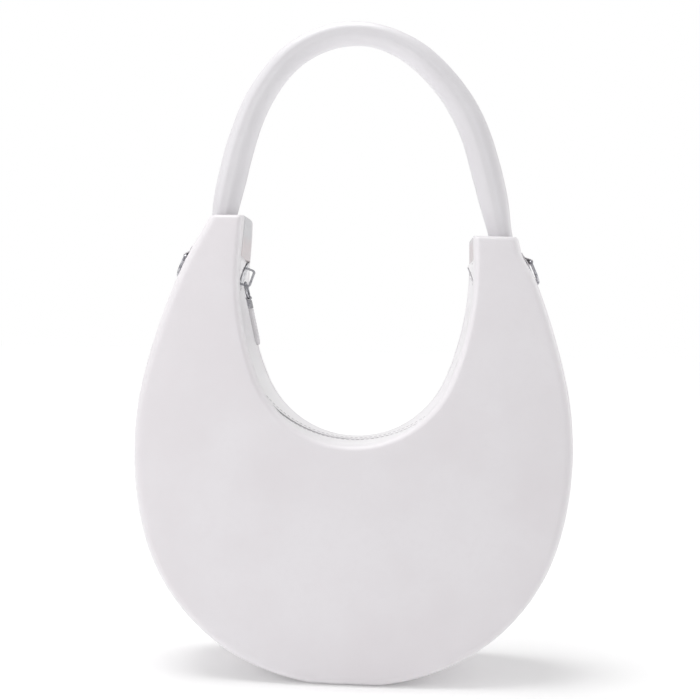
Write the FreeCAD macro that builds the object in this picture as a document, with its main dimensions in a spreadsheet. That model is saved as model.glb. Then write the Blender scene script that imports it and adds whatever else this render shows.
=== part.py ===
import FreeCAD, Part
import math
import os
import re
import Sketcher

# Half moon bag: a crescent bag with a zip round its U notch and a tubular handle between its two horns.
# Millimetres, Z up, the front faces -Y, the bag stands on the flat under its gusset.

os.makedirs("parts", exist_ok=True)
doc = FreeCAD.newDocument("half_moon_bag")
sizes = doc.addObject("Spreadsheet::Sheet", "sizes")

lengths = {
    # Crescent outline, four tangent arcs on each side of a short flat
    "flat_length": 40,
    "bottom_radius": 143,
    "corner_radius": 115,
    "side_radius": 190,
    "shoulder_radius": 420,
    # U notch: a round bottom, two flatter sides and a straight lip up to the horn tops
    "notch_depth": 128,
    "notch_radius": 61.5,
    "notch_lip": 15.83,
    # Side view of the two panels
    "half_depth": 40,
    "belly_height": 39,
    "horn_half_depth": 22.5,
    "dome_radius": 1000,
    # Layers
    "panel_wall": 1.8,
    "rim_depth": 8,
    "edge_roll": 6,
    "seam_gap": 0.3,
    "layer_gap": 0.1,
    "board_thickness": 1.2,
    "board_inset": 6.5,
    "lining_thickness": 0.8,
    "lining_inset": 3.4,
    "overrun": 6,
    # Zip
    "zip_radius": 77.1,
    "zip_recess": 1.6,
    "slit_width": 4.6,
    "tooth_pitch": 3.2,
    "tooth_length": 1.5,
    "tooth_width": 1.6,
    "tooth_height": 2.4,
    "tooth_root": 0.6,
    "bead_width": 1.4,
    "bead_height": 1.4,
    "tape_width": 9,
    "tape_thickness": 0.7,
    "stop_length": 1.8,
    "stop_width": 3,
    "stop_height": 1.2,
    "facing_wall": 1.2,
    "facing_edge": 7.2,
    "facing_spread": 30,
    "facing_lift": 0.45,
    # Slider
    "slider_length": 13,
    "slider_shoulder": 1.6,
    "slider_nose_width": 8.6,
    "slider_plate": 1.3,
    "slider_clearance": 0.6,
    "slider_flange": 0.8,
    "bridge_length": 4,
    "bridge_width": 3.2,
    "bail_length": 11.5,
    "bail_height": 6,
    "bail_round": 2.2,
    "bail_width": 2.4,
    "bail_wall": 1.3,
    # Zip pull
    "pull_ring_radius": 4.9,
    "pull_ring_wire": 1.5,
    "pull_clearance": 0.25,
    "clamp_wall": 0.8,
    "clamp_eye_width": 2.6,
    "clamp_length": 5,
    "clamp_width": 6,
    "tab_length": 23,
    "tab_width": 8,
    "tab_thickness": 2.4,
    "tab_grip": 3.4,
    "tab_neck_width": 4.2,
    "tab_neck_thickness": 1,
    # Horn caps and handle
    "cap_drop": 1.5,
    "cap_thickness": 2,
    "handle_outset": 0.5,
    "handle_shift": 0.3,
    "handle_tail": 22,
    "handle_leg": 45.7,
    "handle_shoulder_radius": 111,
    "handle_diameter": 16.4,
    "handle_wall": 1.4,
    "handle_clearance": 0.3,
    # Strap loops and rings
    "loop_drop": 11.4,
    "loop_width": 12,
    "loop_length": 7,
    "loop_strip": 0.9,
    "strap_wire": 1.8,
    "strap_ring_width": 14,
    "strap_ring_leg": 6,
    "strap_ring_round": 1.9,
    "strap_clearance": 0.25,
}
angles = {
    "corner_heading": 26,
    "side_heading": 74,
    "shoulder_heading": 103,
    "horn_heading": 115.6,
    "lining_heading": 109,
    "notch_heading": 68,
    "notch_end_heading": 92,
    "facing_heading": 90.3,
    "end_tab_heading": 91,
    "facing_split_angle": 60,
    "facing_end_angle": 114.8,
    "dome_angle": 26,
    "slider_rest_angle": 108.9,
    "teeth_end_angle": 114,
    "tape_end_angle": 115.7,
    "handle_leg_heading": 10.5,
    "handle_top_heading": 44.7,
    "handle_lean": 3.65,
    "pull_lean": 13,
}
for row, (alias, value) in enumerate(list(lengths.items()) + list(angles.items()), start=1):
    sizes.set("A%d" % row, alias)
    sizes.set("B%d" % row, str(value))
    sizes.setAlias("B%d" % row, alias)
doc.recompute()
aliases = set(lengths) | set(angles)


def bound(text):
    def named(word):
        return "sizes." + word.group() if word.group() in aliases else word.group()

    return re.sub(r"[a-z_]+", named, text)


def number(text):
    return float(sizes.evalExpression(text))


def bind(item, **links):
    for name, text in links.items():
        item.setExpression(name.replace("__", "."), bound(text))
    return item


# Sketches: a path is a list of (x, y, radius, turn); radius and turn belong to the edge that leaves the point

LINE = None


def arc_between(start, end, radius, turn):
    middle = (start + end) * 0.5
    chord = end - start
    rise = math.sqrt(max(radius**2 - (chord.Length / 2) ** 2, 0))
    left = FreeCAD.Vector(-chord.y, chord.x, 0).normalize()
    centre = middle + left * (rise if turn == "ccw" else -rise)
    first, last = (start, end) if turn == "ccw" else (end, start)
    begin = math.atan2(first.y - centre.y, first.x - centre.x)
    finish = math.atan2(last.y - centre.y, last.x - centre.x)
    if finish < begin:
        finish += 2 * math.pi
    return Part.ArcOfCircle(Part.Circle(centre, FreeCAD.Vector(0, 0, 1), radius), begin, finish)


def draw(sketch, path, closed=True):
    points = [FreeCAD.Vector(number(x), number(y), 0) for x, y, radius, turn in path]
    first_constraint = sketch.ConstraintCount
    edge_count = len(path) if closed else len(path) - 1
    ends = []
    constraints = []
    texts = []
    for index in range(edge_count):
        x, y, radius, turn = path[index]
        start = points[index]
        end = points[(index + 1) % len(path)]
        if radius is LINE:
            edge = sketch.addGeometry(Part.LineSegment(start, end), False)
        else:
            edge = sketch.addGeometry(arc_between(start, end, number(radius), turn), False)
            constraints.append(Sketcher.Constraint("Radius", edge, number(radius)))
            texts.append(radius)
        ends.append((edge, 2, 1) if turn == "cw" else (edge, 1, 2))
    for index in range(edge_count):
        edge, first, last = ends[index]
        x, y, radius, turn = path[index]
        constraints.append(Sketcher.Constraint("DistanceX", -1, 1, edge, first, points[index].x))
        texts.append(x)
        constraints.append(Sketcher.Constraint("DistanceY", -1, 1, edge, first, points[index].y))
        texts.append(y)
    if not closed:
        edge, first, last = ends[-1]
        constraints.append(Sketcher.Constraint("DistanceX", -1, 1, edge, last, points[-1].x))
        texts.append(path[-1][0])
        constraints.append(Sketcher.Constraint("DistanceY", -1, 1, edge, last, points[-1].y))
        texts.append(path[-1][1])
    dimensions = len(constraints)
    for index in range(edge_count if closed else edge_count - 1):
        edge, first, last = ends[index]
        following, entry, leave = ends[(index + 1) % edge_count]
        constraints.append(Sketcher.Constraint("Coincident", edge, last, following, entry))
    sketch.addConstraint(constraints)
    for index in range(dimensions):
        sketch.setExpression("Constraints[%d]" % (first_constraint + index), bound(texts[index]))
    return sketch


def circle(sketch, x, y, radius):
    centre = FreeCAD.Vector(number(x), number(y), 0)
    first = sketch.ConstraintCount
    edge = sketch.addGeometry(Part.Circle(centre, FreeCAD.Vector(0, 0, 1), number(radius)), False)
    sketch.addConstraint(Sketcher.Constraint("Radius", edge, number(radius)))
    sketch.addConstraint(Sketcher.Constraint("DistanceX", -1, 1, edge, 3, centre.x))
    sketch.addConstraint(Sketcher.Constraint("DistanceY", -1, 1, edge, 3, centre.y))
    for index, text in enumerate((radius, x, y)):
        sketch.setExpression("Constraints[%d]" % (first + index), bound(text))
    return sketch


front_view = FreeCAD.Rotation(FreeCAD.Vector(1, 0, 0), 90)
side_view = FreeCAD.Rotation(FreeCAD.Vector(1, 1, 1), 120)


def loose_sketch(name, path, rotation, closed=True):
    sketch = doc.addObject("Sketcher::SketchObject", name)
    sketch.Placement = FreeCAD.Placement(FreeCAD.Vector(0, 0, 0), rotation)
    return draw(sketch, path, closed)


def new_body(name, label=None):
    body = doc.addObject("PartDesign::Body", name)
    body.Label = label or name
    return body


def body_sketch(body, name, role, offset="0"):
    sketch = body.newObject("Sketcher::SketchObject", name)
    support = [item for item in body.Origin.OriginFeatures if item.Role == role][0]
    sketch.AttachmentSupport = (support, [""])
    sketch.MapMode = "FlatFace"
    sketch.setExpression("AttachmentOffset.Base.z", bound(offset))
    return sketch


def pad(body, sketch, length):
    feature = body.newObject("PartDesign::Pad", sketch.Name + "_pad")
    feature.Profile = sketch
    sketch.Visibility = False
    return bind(feature, Length=length)


def cut(name, base, tool):
    item = doc.addObject("Part::Cut", name)
    item.Base = base
    item.Tool = tool
    return item


def common(name, base, tool):
    item = doc.addObject("Part::Common", name)
    item.Base = base
    item.Tool = tool
    return item


def mirrored(name, source, normal):
    item = doc.addObject("Part::Mirroring", name)
    item.Source = source
    item.Normal = normal
    return item


across = FreeCAD.Vector(0, 1, 0)
sideways = FreeCAD.Vector(1, 0, 0)


# Crescent outline. A heading is the direction of the edge, 0 along the bottom, 90 straight up.


def arc_point(centre, radius, heading):
    x, z = centre
    return "%s + (%s) * sin(%s)" % (x, radius, heading), "%s - (%s) * cos(%s)" % (z, radius, heading)


def next_centre(centre, radius, next_radius, heading):
    return arc_point(centre, "%s - %s" % (radius, next_radius), heading)


bottom_centre = ("0", "sqrt(bottom_radius^2 - (flat_length / 2)^2)")
corner_centre = next_centre(bottom_centre, "bottom_radius", "corner_radius", "corner_heading")
side_centre = next_centre(corner_centre, "corner_radius", "side_radius", "side_heading")
shoulder_centre = next_centre(side_centre, "side_radius", "shoulder_radius", "shoulder_heading")
horn_top = arc_point(shoulder_centre, "shoulder_radius", "horn_heading")[1]
notch_centre = ("0", "%s - notch_depth + notch_radius" % horn_top)
notch_side_rise = "(notch_depth - notch_lip - notch_radius + notch_radius * cos(notch_heading))"
notch_side_radius = "(%s / (cos(notch_heading) - cos(notch_end_heading)))" % notch_side_rise
notch_side_centre = next_centre(notch_centre, "notch_radius", notch_side_radius, "notch_heading")
outer_arcs = [
    (bottom_centre, "bottom_radius", "corner_heading"),
    (corner_centre, "corner_radius", "side_heading"),
    (side_centre, "side_radius", "shoulder_heading"),
]


def outer_half(inset, arc_count=3, end_heading=None, top_drop=None):
    # The right half of the outer edge, from the flat upwards: (x, z, radius of the arc that leads here)
    start = "sqrt((bottom_radius - (%s))^2 - (%s - (%s))^2)" % (inset, bottom_centre[1], inset)
    points = [(start, inset, LINE)]
    for centre, radius, heading in outer_arcs[:arc_count]:
        inner = "%s - (%s)" % (radius, inset)
        points.append(arc_point(centre, inner, heading) + (inner,))
    inner = "shoulder_radius - (%s)" % inset
    if end_heading:
        points.append(arc_point(shoulder_centre, inner, end_heading) + (inner,))
    if top_drop:
        level = "%s - (%s)" % (horn_top, top_drop)
        reach = "sqrt((%s)^2 - (%s - (%s))^2)" % (inner, shoulder_centre[1], level)
        points.append(("%s + %s" % (shoulder_centre[0], reach), level, inner))
    return points


def notch_half(inset, end_heading="notch_end_heading", top_drop=None):
    # The right half of the notch edge, from its bottom arc upwards
    side = "%s + (%s)" % (notch_side_radius, inset)
    points = [arc_point(notch_centre, "notch_radius + (%s)" % inset, "notch_heading") + (LINE,)]
    points.append(arc_point(notch_side_centre, side, end_heading) + (side,))
    if top_drop:
        level = "%s - (%s)" % (horn_top, top_drop)
        x, z = points[-1][:2]
        points.append(("%s + (%s - (%s)) / tan(%s)" % (x, level, z, end_heading), level, LINE))
    return points


def path_along(points, turn):
    # Turns (x, z, radius that leads here) into (x, z, radius that leaves, turn)
    path = []
    for index, (x, z, radius) in enumerate(points):
        leaving = points[index + 1][2] if index + 1 < len(points) else LINE
        path.append((x, z, leaving, turn if leaving else LINE))
    return path


def both_sides(half, middle_radius):
    # A whole run from the left end to the right end, from its right half
    left = [("-(%s)" % x, z) for x, z, radius in half]
    run = []
    for index in range(len(half) - 1, 0, -1):
        run.append(left[index] + ((half[index + 1][2] if index + 1 < len(half) else LINE),))
    run.append(left[0] + ((half[1][2] if len(half) > 1 else LINE),))
    run.append((half[0][0], half[0][1], middle_radius))
    run.extend(half[1:])
    return run


def backwards(run):
    turned = []
    for index in range(len(run) - 1, -1, -1):
        leading = run[index + 1][2] if index + 1 < len(run) else LINE
        turned.append((run[index][0], run[index][1], leading))
    return turned


def crescent_path(inset):
    outer = both_sides(outer_half(inset, top_drop=inset), LINE)
    notch = both_sides(notch_half(inset, top_drop=inset), "notch_radius + (%s)" % inset)
    return path_along(outer, "ccw") + path_along(backwards(notch), "cw")


def ribbon_path(outer_run, inner_run, turn):
    other = "cw" if turn == "ccw" else "ccw"
    return path_along(outer_run, turn) + path_along(backwards(inner_run), other)


def prism(name, path):
    item = doc.addObject("Part::Extrusion", name)
    item.Base = loose_sketch(name + "_outline", path, front_view)
    item.DirMode = "Custom"
    item.Dir = FreeCAD.Vector(0, -1, 0)
    item.Solid = True
    item.Symmetric = True
    return bind(item, LengthFwd="2 * (half_depth + overrun)")


# Domed slabs: a level is a depth behind the front surface, and every level keeps the same centres


horn_slim = "(half_depth - horn_half_depth)"
profile_radius = "(((%s - belly_height)^2 + %s^2) / (2 * %s))" % (horn_top, horn_slim, horn_slim)


def profile_y(level, height):
    reach = "sqrt((%s - (%s))^2 - (%s - belly_height)^2)" % (profile_radius, level, height)
    return "%s - half_depth - %s" % (profile_radius, reach)


def dome_slab(name, front, back):
    foot = "0 - overrun"
    head = "%s + overrun" % horn_top
    path = [
        (profile_y(front, foot), foot, LINE, LINE),
        (profile_y(back, foot), foot, "%s - (%s)" % (profile_radius, back), "cw"),
        (profile_y(back, head), head, LINE, LINE),
        (profile_y(front, head), head, "%s - (%s)" % (profile_radius, front), "ccw"),
    ]
    item = doc.addObject("Part::Revolution", name)
    item.Source = loose_sketch(name + "_profile", path, side_view)
    item.Axis = FreeCAD.Vector(0, 0, 1)
    item.Symmetric = True
    item.Solid = True
    return bind(item, Base__y="dome_radius - half_depth", Angle="dome_angle")


def level_of(point):
    ring = math.hypot(point.x, point.y - number("dome_radius - half_depth"))
    y = number("dome_radius - half_depth") - ring
    y_centre = number(profile_radius) - number("half_depth")
    return number(profile_radius) - math.hypot(y - y_centre, point.z - number("belly_height"))


def rolled(name, block, level, radius):
    doc.recompute()
    near = number("layer_gap") / 2
    front_edges = []
    for index, edge in enumerate(block.Shape.Edges, start=1):
        middle = edge.valueAt((edge.FirstParameter + edge.LastParameter) / 2)
        spots = [middle] + [vertex.Point for vertex in edge.Vertexes]
        if all(abs(level_of(spot) - number(level)) < near for spot in spots):
            front_edges.append((index, number(radius), number(radius)))
    item = doc.addObject("Part::Fillet", name)
    item.Base = block
    item.Edges = front_edges
    return item


def crescent_slab(name, inset, front, back):
    block = prism(name + "_prism", crescent_path(inset))
    return common(name, block, dome_slab(name + "_dome", front, back))


# Panels, boards and linings, front and back

panel_block = rolled("panel_block", crescent_slab("panel_slab", "0", "0", "rim_depth"), "0", "edge_roll")
hollow_slab = crescent_slab("hollow_slab", "panel_wall", "panel_wall", "rim_depth + overrun")
hollow = rolled("panel_hollow", hollow_slab, "panel_wall", "edge_roll - panel_wall")
front_panel = cut("front_panel", panel_block, hollow)
board_front = "panel_wall + layer_gap"
lining_front = "%s + board_thickness + layer_gap" % board_front
lining_back = "%s + lining_thickness" % lining_front
front_board = crescent_slab("front_board", "board_inset", board_front, "%s + board_thickness" % board_front)
front_lining = crescent_slab("front_lining", "lining_inset", lining_front, lining_back)
back_panel = mirrored("back_panel", front_panel, across)
back_board = mirrored("back_board", front_board, across)
back_lining = mirrored("back_lining", front_lining, across)

# Bands between the panels: gusset, base board and gusset lining

seam_front = dome_slab("seam_front", "0 - half_depth", "rim_depth + seam_gap")
seam_back = mirrored("seam_back", seam_front, across)
inner_front = dome_slab("inner_front", "0 - half_depth", "edge_roll + layer_gap")
inner_back = mirrored("inner_back", inner_front, across)


def between(name, block, front, back):
    return cut(name, cut(name + "_open", block, front), back)


def outer_band(name, inset, wall, front, back, **end):
    near = both_sides(outer_half(inset, **end), LINE)
    far = both_sides(outer_half("%s + %s" % (inset, wall), **end), LINE)
    return between(name, prism(name + "_band", ribbon_path(near, far, "ccw")), front, back)


outer_gusset = outer_band("outer_gusset", "0", "panel_wall", seam_front, seam_back, top_drop="0")
base_inset = "panel_wall + layer_gap"
base_board = outer_band("base_board", base_inset, "board_thickness", inner_front, inner_back, arc_count=2)
gusset_lining = outer_band(
    "gusset_lining",
    "%s + board_thickness + layer_gap" % base_inset,
    "lining_thickness",
    inner_front,
    inner_back,
    end_heading="lining_heading",
)

# Zip: everything lies on one circle about zip_centre, so the slider can run round it

zip_centre = "%s - notch_depth + zip_radius - zip_recess" % horn_top


def zip_body(name, label=None):
    return bind(new_body(name, label), Placement__Base__z=zip_centre)


def polar(radius, angle):
    return "(%s) * sin(%s)" % (radius, angle), "0 - (%s) * cos(%s)" % (radius, angle)


def sector(sketch, inner, outer, first, last):
    # A ring sector, angles from straight down, split in the middle so that no arc passes a half circle
    middle = "(%s + %s) / 2" % (first, last)
    path = [
        polar(outer, first) + (outer, "ccw"),
        polar(outer, middle) + (outer, "ccw"),
        polar(outer, last) + (LINE, LINE),
        polar(inner, last) + (inner, "cw"),
        polar(inner, middle) + (inner, "cw"),
        polar(inner, first) + (LINE, LINE),
    ]
    return draw(sketch, path)


def zip_band(body, name, offset, width, centre_radius, height, first, last):
    # A pad of ring sector: it starts at offset in front of the middle and goes on towards the front
    sketch = body_sketch(body, name, "XZ_Plane", offset)
    inner = "%s - (%s) / 2" % (centre_radius, height)
    outer = "%s + (%s) / 2" % (centre_radius, height)
    sector(sketch, inner, outer, first, last)
    return pad(body, sketch, width)


def front_offset(side, near, width):
    # Offset of a band that covers near to near + width on one side of the middle plane
    return near if side == "front" else "0 - (%s) - (%s)" % (near, width)


row_width = "(tooth_width + bead_width - tooth_root)"
tape_start = "slit_width / 2 + %s" % row_width
bead_start = "slit_width / 2 + tooth_width - tooth_root"
tooth_angle = "tooth_length / zip_radius * 180 / pi"
stop_angle = "stop_length / zip_radius * 180 / pi"
half_pitch = {"front": "0", "back": "tooth_pitch / zip_radius * 90 / pi"}
zip_tapes = []
zip_rows = []
for side in ("front", "back"):
    tape = zip_body(side + "_zip_tape")
    offset = front_offset(side, tape_start, "tape_width")
    first, last = "0 - tape_end_angle", "tape_end_angle"
    zip_band(tape, side + "_tape", offset, "tape_width", "zip_radius", "tape_thickness", first, last)
    zip_tapes.append(tape)

    row = zip_body(side + "_zip_teeth")
    offset = front_offset(side, bead_start, "bead_width")
    first, last = "0 - teeth_end_angle", "teeth_end_angle"
    zip_band(row, side + "_bead", offset, "bead_width", "zip_radius", "bead_height", first, last)
    offset = front_offset(side, "slit_width / 2", "tooth_width")
    first = "0 - teeth_end_angle + %s" % half_pitch[side]
    last = "%s + %s" % (first, tooth_angle)
    name = side + "_tooth"
    tooth = zip_band(row, name, offset, "tooth_width", "zip_radius", "tooth_height", first, last)
    doc.recompute()
    teeth = row.newObject("PartDesign::PolarPattern", side + "_teeth")
    teeth.Originals = [tooth]
    teeth.Axis = ([item for item in row.Origin.OriginFeatures if item.Role == "Y_Axis"][0], [""])
    teeth.Reversed = True
    sweep = "(2 * teeth_end_angle - %s - %s)" % (half_pitch[side], tooth_angle)
    count = "floor(%s * pi / 180 * zip_radius / tooth_pitch) + 1" % sweep
    bind(teeth, Angle=sweep, Occurrences=count)
    row.Tip = teeth
    zip_rows.append(row)

zip_end_stops = zip_body("zip_end_stops")
stop_radius = "zip_radius - tape_thickness / 2 - layer_gap - stop_height / 2"
for side in ("front", "back"):
    offset = front_offset(side, "slit_width / 2 + tooth_width", "stop_width")
    left_first = "0 - teeth_end_angle - %s" % stop_angle
    for end, first in (("right", "teeth_end_angle"), ("left", left_first)):
        name = "%s_%s_stop" % (side, end)
        last = "%s + %s" % (first, stop_angle)
        zip_band(zip_end_stops, name, offset, "stop_width", stop_radius, "stop_height", first, last)

# Zip facings: ruled lofts from the notch edge of a panel down to the zip circle


def zip_ring_run(radius):
    run = []
    left_angles = ("0 - facing_end_angle", "0 - facing_split_angle")
    for angle in left_angles + ("facing_split_angle", "facing_end_angle"):
        x, z = polar(radius, angle)
        run.append((x, "%s + %s" % (zip_centre, z), radius if run else LINE))
    return run


facing = new_body("facing_loft")
upper = body_sketch(facing, "facing_at_panel", "XZ_Plane", "facing_spread")
near = both_sides(notch_half("0", "facing_heading"), "notch_radius")
far = both_sides(notch_half("facing_wall", "facing_heading"), "notch_radius + facing_wall")
draw(upper, ribbon_path(near, far, "ccw"))
lower = body_sketch(facing, "facing_at_zip", "XZ_Plane", "facing_edge")
facing_floor = "zip_radius - tape_thickness / 2 - facing_lift"
facing_top = "%s - facing_wall" % facing_floor
draw(lower, ribbon_path(zip_ring_run(facing_top), zip_ring_run(facing_floor), "ccw"))
doc.recompute()
loft = facing.newObject("PartDesign::AdditiveLoft", "facing_strip")
loft.Profile = upper
loft.Sections = [lower]
loft.Ruled = True
front_zip_facing = cut("front_zip_facing", facing, seam_front)
back_zip_facing = mirrored("back_zip_facing", front_zip_facing, across)

# Horns: the patch above each end of the zip, and the cap that the handle goes through


def horn_side_run(inset):
    side = "%s + (%s)" % (notch_side_radius, inset)
    lower_end = arc_point(notch_side_centre, side, "end_tab_heading") + (LINE,)
    return [lower_end] + notch_half(inset, top_drop="0")[1:]


end_tab_path = ribbon_path(horn_side_run("0"), horn_side_run("panel_wall"), "ccw")
right_zip_end_tab = between("right_zip_end_tab", prism("end_tab_block", end_tab_path), seam_front, seam_back)
left_zip_end_tab = mirrored("left_zip_end_tab", right_zip_end_tab, sideways)

cap_inset = "panel_wall + seam_gap"
cap_foot = "cap_drop + cap_thickness"
cap_corners = [
    notch_half(cap_inset, top_drop=cap_foot)[-1],
    outer_half(cap_inset, top_drop=cap_foot)[-1],
    outer_half(cap_inset, top_drop="cap_drop")[-1],
    notch_half(cap_inset, top_drop="cap_drop")[-1],
]
cap_path = [(x, z, LINE, LINE) for x, z, radius in cap_corners]
right_cap_plate = between("right_cap_plate", prism("cap_block", cap_path), seam_front, seam_back)
left_cap_plate = mirrored("left_cap_plate", right_cap_plate, sideways)

# Handle: one tube with a core, swept along legs, shoulders and a top arc, leaning a little to one side

handle_place = FreeCAD.Placement(
    FreeCAD.Vector(number("handle_shift"), 0, number(horn_top)),
    FreeCAD.Rotation(FreeCAD.Vector(0, 1, 0), -number("handle_lean")) * front_view,
)
horn_inner_x = notch_half("0", top_drop="0")[-1][0]
horn_outer_x = outer_half("0", top_drop="0")[-1][0]
handle_spread = "((%s + %s) / 2 + handle_outset)" % (horn_inner_x, horn_outer_x)
tail_x = "%s + handle_tail * sin(handle_leg_heading)" % handle_spread
tail_z = "0 - handle_tail * cos(handle_leg_heading)"
leg_x = "%s - handle_leg * sin(handle_leg_heading)" % handle_spread
leg_z = "handle_leg * cos(handle_leg_heading)"
top_x = "%s - handle_shoulder_radius * (cos(handle_leg_heading) - cos(handle_top_heading))" % leg_x
top_z = "%s + handle_shoulder_radius * (sin(handle_top_heading) - sin(handle_leg_heading))" % leg_z
handle_path = [
    ("-(%s)" % tail_x, tail_z, LINE, LINE),
    ("-(%s)" % leg_x, leg_z, "handle_shoulder_radius", "cw"),
    ("-(%s)" % top_x, top_z, "(%s) / cos(handle_top_heading)" % top_x, "cw"),
    (top_x, top_z, "handle_shoulder_radius", "cw"),
    (leg_x, leg_z, LINE, LINE),
    (tail_x, tail_z, LINE, LINE),
]
handle_spine = loose_sketch("handle_spine", handle_path, front_view, closed=False)
handle_spine.Placement = handle_place


def swept(name, spine, start, direction, radius, edge_count):
    ring = doc.addObject("Part::Circle", name + "_section")
    ring.Placement = FreeCAD.Placement(start, FreeCAD.Rotation(FreeCAD.Vector(0, 0, 1), direction))
    bind(ring, Radius=radius)
    item = doc.addObject("Part::Sweep", name)
    item.Sections = [ring]
    item.Spine = (spine, ["Edge%d" % (index + 1) for index in range(edge_count)])
    item.Solid = True
    return item


def handle_tube(name, radius):
    start = handle_place.multVec(FreeCAD.Vector(-number(tail_x), number(tail_z), 0))
    heading = math.radians(number("handle_leg_heading"))
    along = handle_place.Rotation.multVec(FreeCAD.Vector(math.sin(heading), math.cos(heading), 0))
    return swept(name, handle_spine, start, along, radius, len(handle_path) - 1)


handle_outside = handle_tube("handle_outside", "handle_diameter / 2")
handle_inside = handle_tube("handle_inside", "handle_diameter / 2 - handle_wall")
handle_room = handle_tube("handle_room", "handle_diameter / 2 + handle_clearance")
handle_cover = cut("handle_cover", handle_outside, handle_inside)
handle_core = handle_tube("handle_core", "handle_diameter / 2 - handle_wall - layer_gap")
right_horn_cap = cut("right_horn_cap", right_cap_plate, handle_room)
left_horn_cap = cut("left_horn_cap", left_cap_plate, handle_room)

# Strap loops and rings on the outer side of the horns, modelled on the right and mirrored

eye_radius = "strap_wire / 2 + strap_clearance + loop_strip"
loop_x, loop_z = outer_half("0 - layer_gap", top_drop="loop_drop")[-1][:2]
right_strap_loop = new_body("right_strap_loop")
loop_fall = number("(%s - (%s)) / (shoulder_radius + layer_gap)" % (loop_z, shoulder_centre[1]))
right_strap_loop.Placement.Rotation = FreeCAD.Rotation(across, -math.degrees(math.asin(loop_fall)))
bind(right_strap_loop, Placement__Base__x=loop_x, Placement__Base__z=loop_z)
loop_sketch = body_sketch(right_strap_loop, "loop_profile", "XZ_Plane", "0 - loop_width / 2")
loop_path = [
    ("0", "0", LINE, LINE),
    ("0", "0 - loop_length", eye_radius, "ccw"),
    (eye_radius, "0 - loop_length - (%s)" % eye_radius, eye_radius, "ccw"),
    ("2 * (%s)" % eye_radius, "0 - loop_length", LINE, LINE),
    ("2 * loop_strip", "0 - loop_length + %s" % eye_radius, LINE, LINE),
    ("2 * loop_strip", "0", LINE, LINE),
]
draw(loop_sketch, loop_path)
circle(loop_sketch, eye_radius, "0 - loop_length", "strap_wire / 2 + strap_clearance")
pad(right_strap_loop, loop_sketch, "loop_width")
left_strap_loop = mirrored("left_strap_loop", right_strap_loop, sideways)
doc.recompute()

ring_half = "(strap_ring_width + strap_wire) / 2"
bar_half = "%s - strap_ring_round" % ring_half
ring_path = [
    ("-(%s)" % bar_half, "0", LINE, LINE),
    (bar_half, "0", "strap_ring_round", "cw"),
    (ring_half, "0 - strap_ring_round", LINE, LINE),
    (ring_half, "0 - strap_ring_leg", ring_half, "cw"),
    ("0", "0 - strap_ring_leg - %s" % ring_half, ring_half, "cw"),
    ("-%s" % ring_half, "0 - strap_ring_leg", LINE, LINE),
    ("-%s" % ring_half, "0 - strap_ring_round", "strap_ring_round", "cw"),
]
ring_spine = loose_sketch("strap_ring_spine", ring_path, side_view)
bar_place = FreeCAD.Vector(number(eye_radius), 0, -number("loop_length"))
ring_place = FreeCAD.Placement(
    right_strap_loop.Placement.multVec(bar_place), right_strap_loop.Placement.Rotation * side_view
)
ring_spine.Placement = ring_place
ring_start = ring_place.multVec(FreeCAD.Vector(-number(bar_half), 0, 0))
wire_radius = "strap_wire / 2"
right_strap_ring = swept("right_strap_ring", ring_spine, ring_start, across, wire_radius, len(ring_path))
left_strap_ring = mirrored("left_strap_ring", right_strap_ring, sideways)

# Slider: two plates, a bridge in the slit and flanges beside the rows. It is drawn at the bottom of the
# circle, with its wide mouth towards +X, and turned up to the left end of the zip.


def slider_body(name):
    body = zip_body(name)
    body.Placement.Rotation = FreeCAD.Rotation(FreeCAD.Vector(0, 1, 0), number("slider_rest_angle"))
    return body


wide_half = "(slit_width / 2 + %s + slider_clearance + slider_flange)" % row_width
flange_half = "(%s - slider_flange)" % wide_half
upper_floor = "0 - zip_radius + tooth_height / 2 + slider_clearance"
lower_floor = "0 - zip_radius - tooth_height / 2 - slider_clearance - slider_plate"
flange_height = "(tooth_height - tape_thickness) / 2"
mouth, waist, nose = "slider_length / 2", "0 - slider_shoulder", "0 - slider_length / 2"
plate_path = [
    (nose, "0 - slider_nose_width / 2", LINE, LINE),
    (waist, "0 - %s" % wide_half, LINE, LINE),
    (mouth, "0 - %s" % wide_half, LINE, LINE),
    (mouth, wide_half, LINE, LINE),
    (waist, wide_half, LINE, LINE),
    (nose, "slider_nose_width / 2", LINE, LINE),
]
bridge_middle = "slider_length / 2 - bridge_length / 2"
bridge_path = [
    ("%s - bridge_length / 2" % bridge_middle, "0", LINE, LINE),
    (bridge_middle, "0 - bridge_width / 2", LINE, LINE),
    ("%s + bridge_length / 2" % bridge_middle, "0", LINE, LINE),
    (bridge_middle, "bridge_width / 2", LINE, LINE),
]


def rectangle(x_low, x_high, y_low, y_high):
    corners = ((x_low, y_low), (x_high, y_low), (x_high, y_high), (x_low, y_high))
    return [(x, y, LINE, LINE) for x, y in corners]


zip_slider = slider_body("zip_slider")


def slider_pad(name, paths, floor, height):
    sketch = body_sketch(zip_slider, name, "XY_Plane", floor)
    for path in paths:
        draw(sketch, path)
    return pad(zip_slider, sketch, height)


flanges = [
    rectangle(waist, mouth, flange_half, wide_half),
    rectangle(waist, mouth, "0 - %s" % wide_half, "0 - %s" % flange_half),
]
slider_pad("slider_lower", [plate_path], lower_floor, "slider_plate")
slider_pad("slider_lower_flange_a", flanges[:1], "%s + slider_plate" % lower_floor, flange_height)
slider_pad("slider_lower_flange_b", flanges[1:], "%s + slider_plate" % lower_floor, flange_height)
bridge_height = "tooth_height + 2 * slider_clearance"
slider_pad("slider_bridge", [bridge_path], "%s + slider_plate" % lower_floor, bridge_height)
slider_pad("slider_upper", [plate_path], upper_floor, "slider_plate")
slider_pad("slider_upper_flange_a", flanges[:1], "%s - %s" % (upper_floor, flange_height), flange_height)
slider_pad("slider_upper_flange_b", flanges[1:], "%s - %s" % (upper_floor, flange_height), flange_height)

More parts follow.
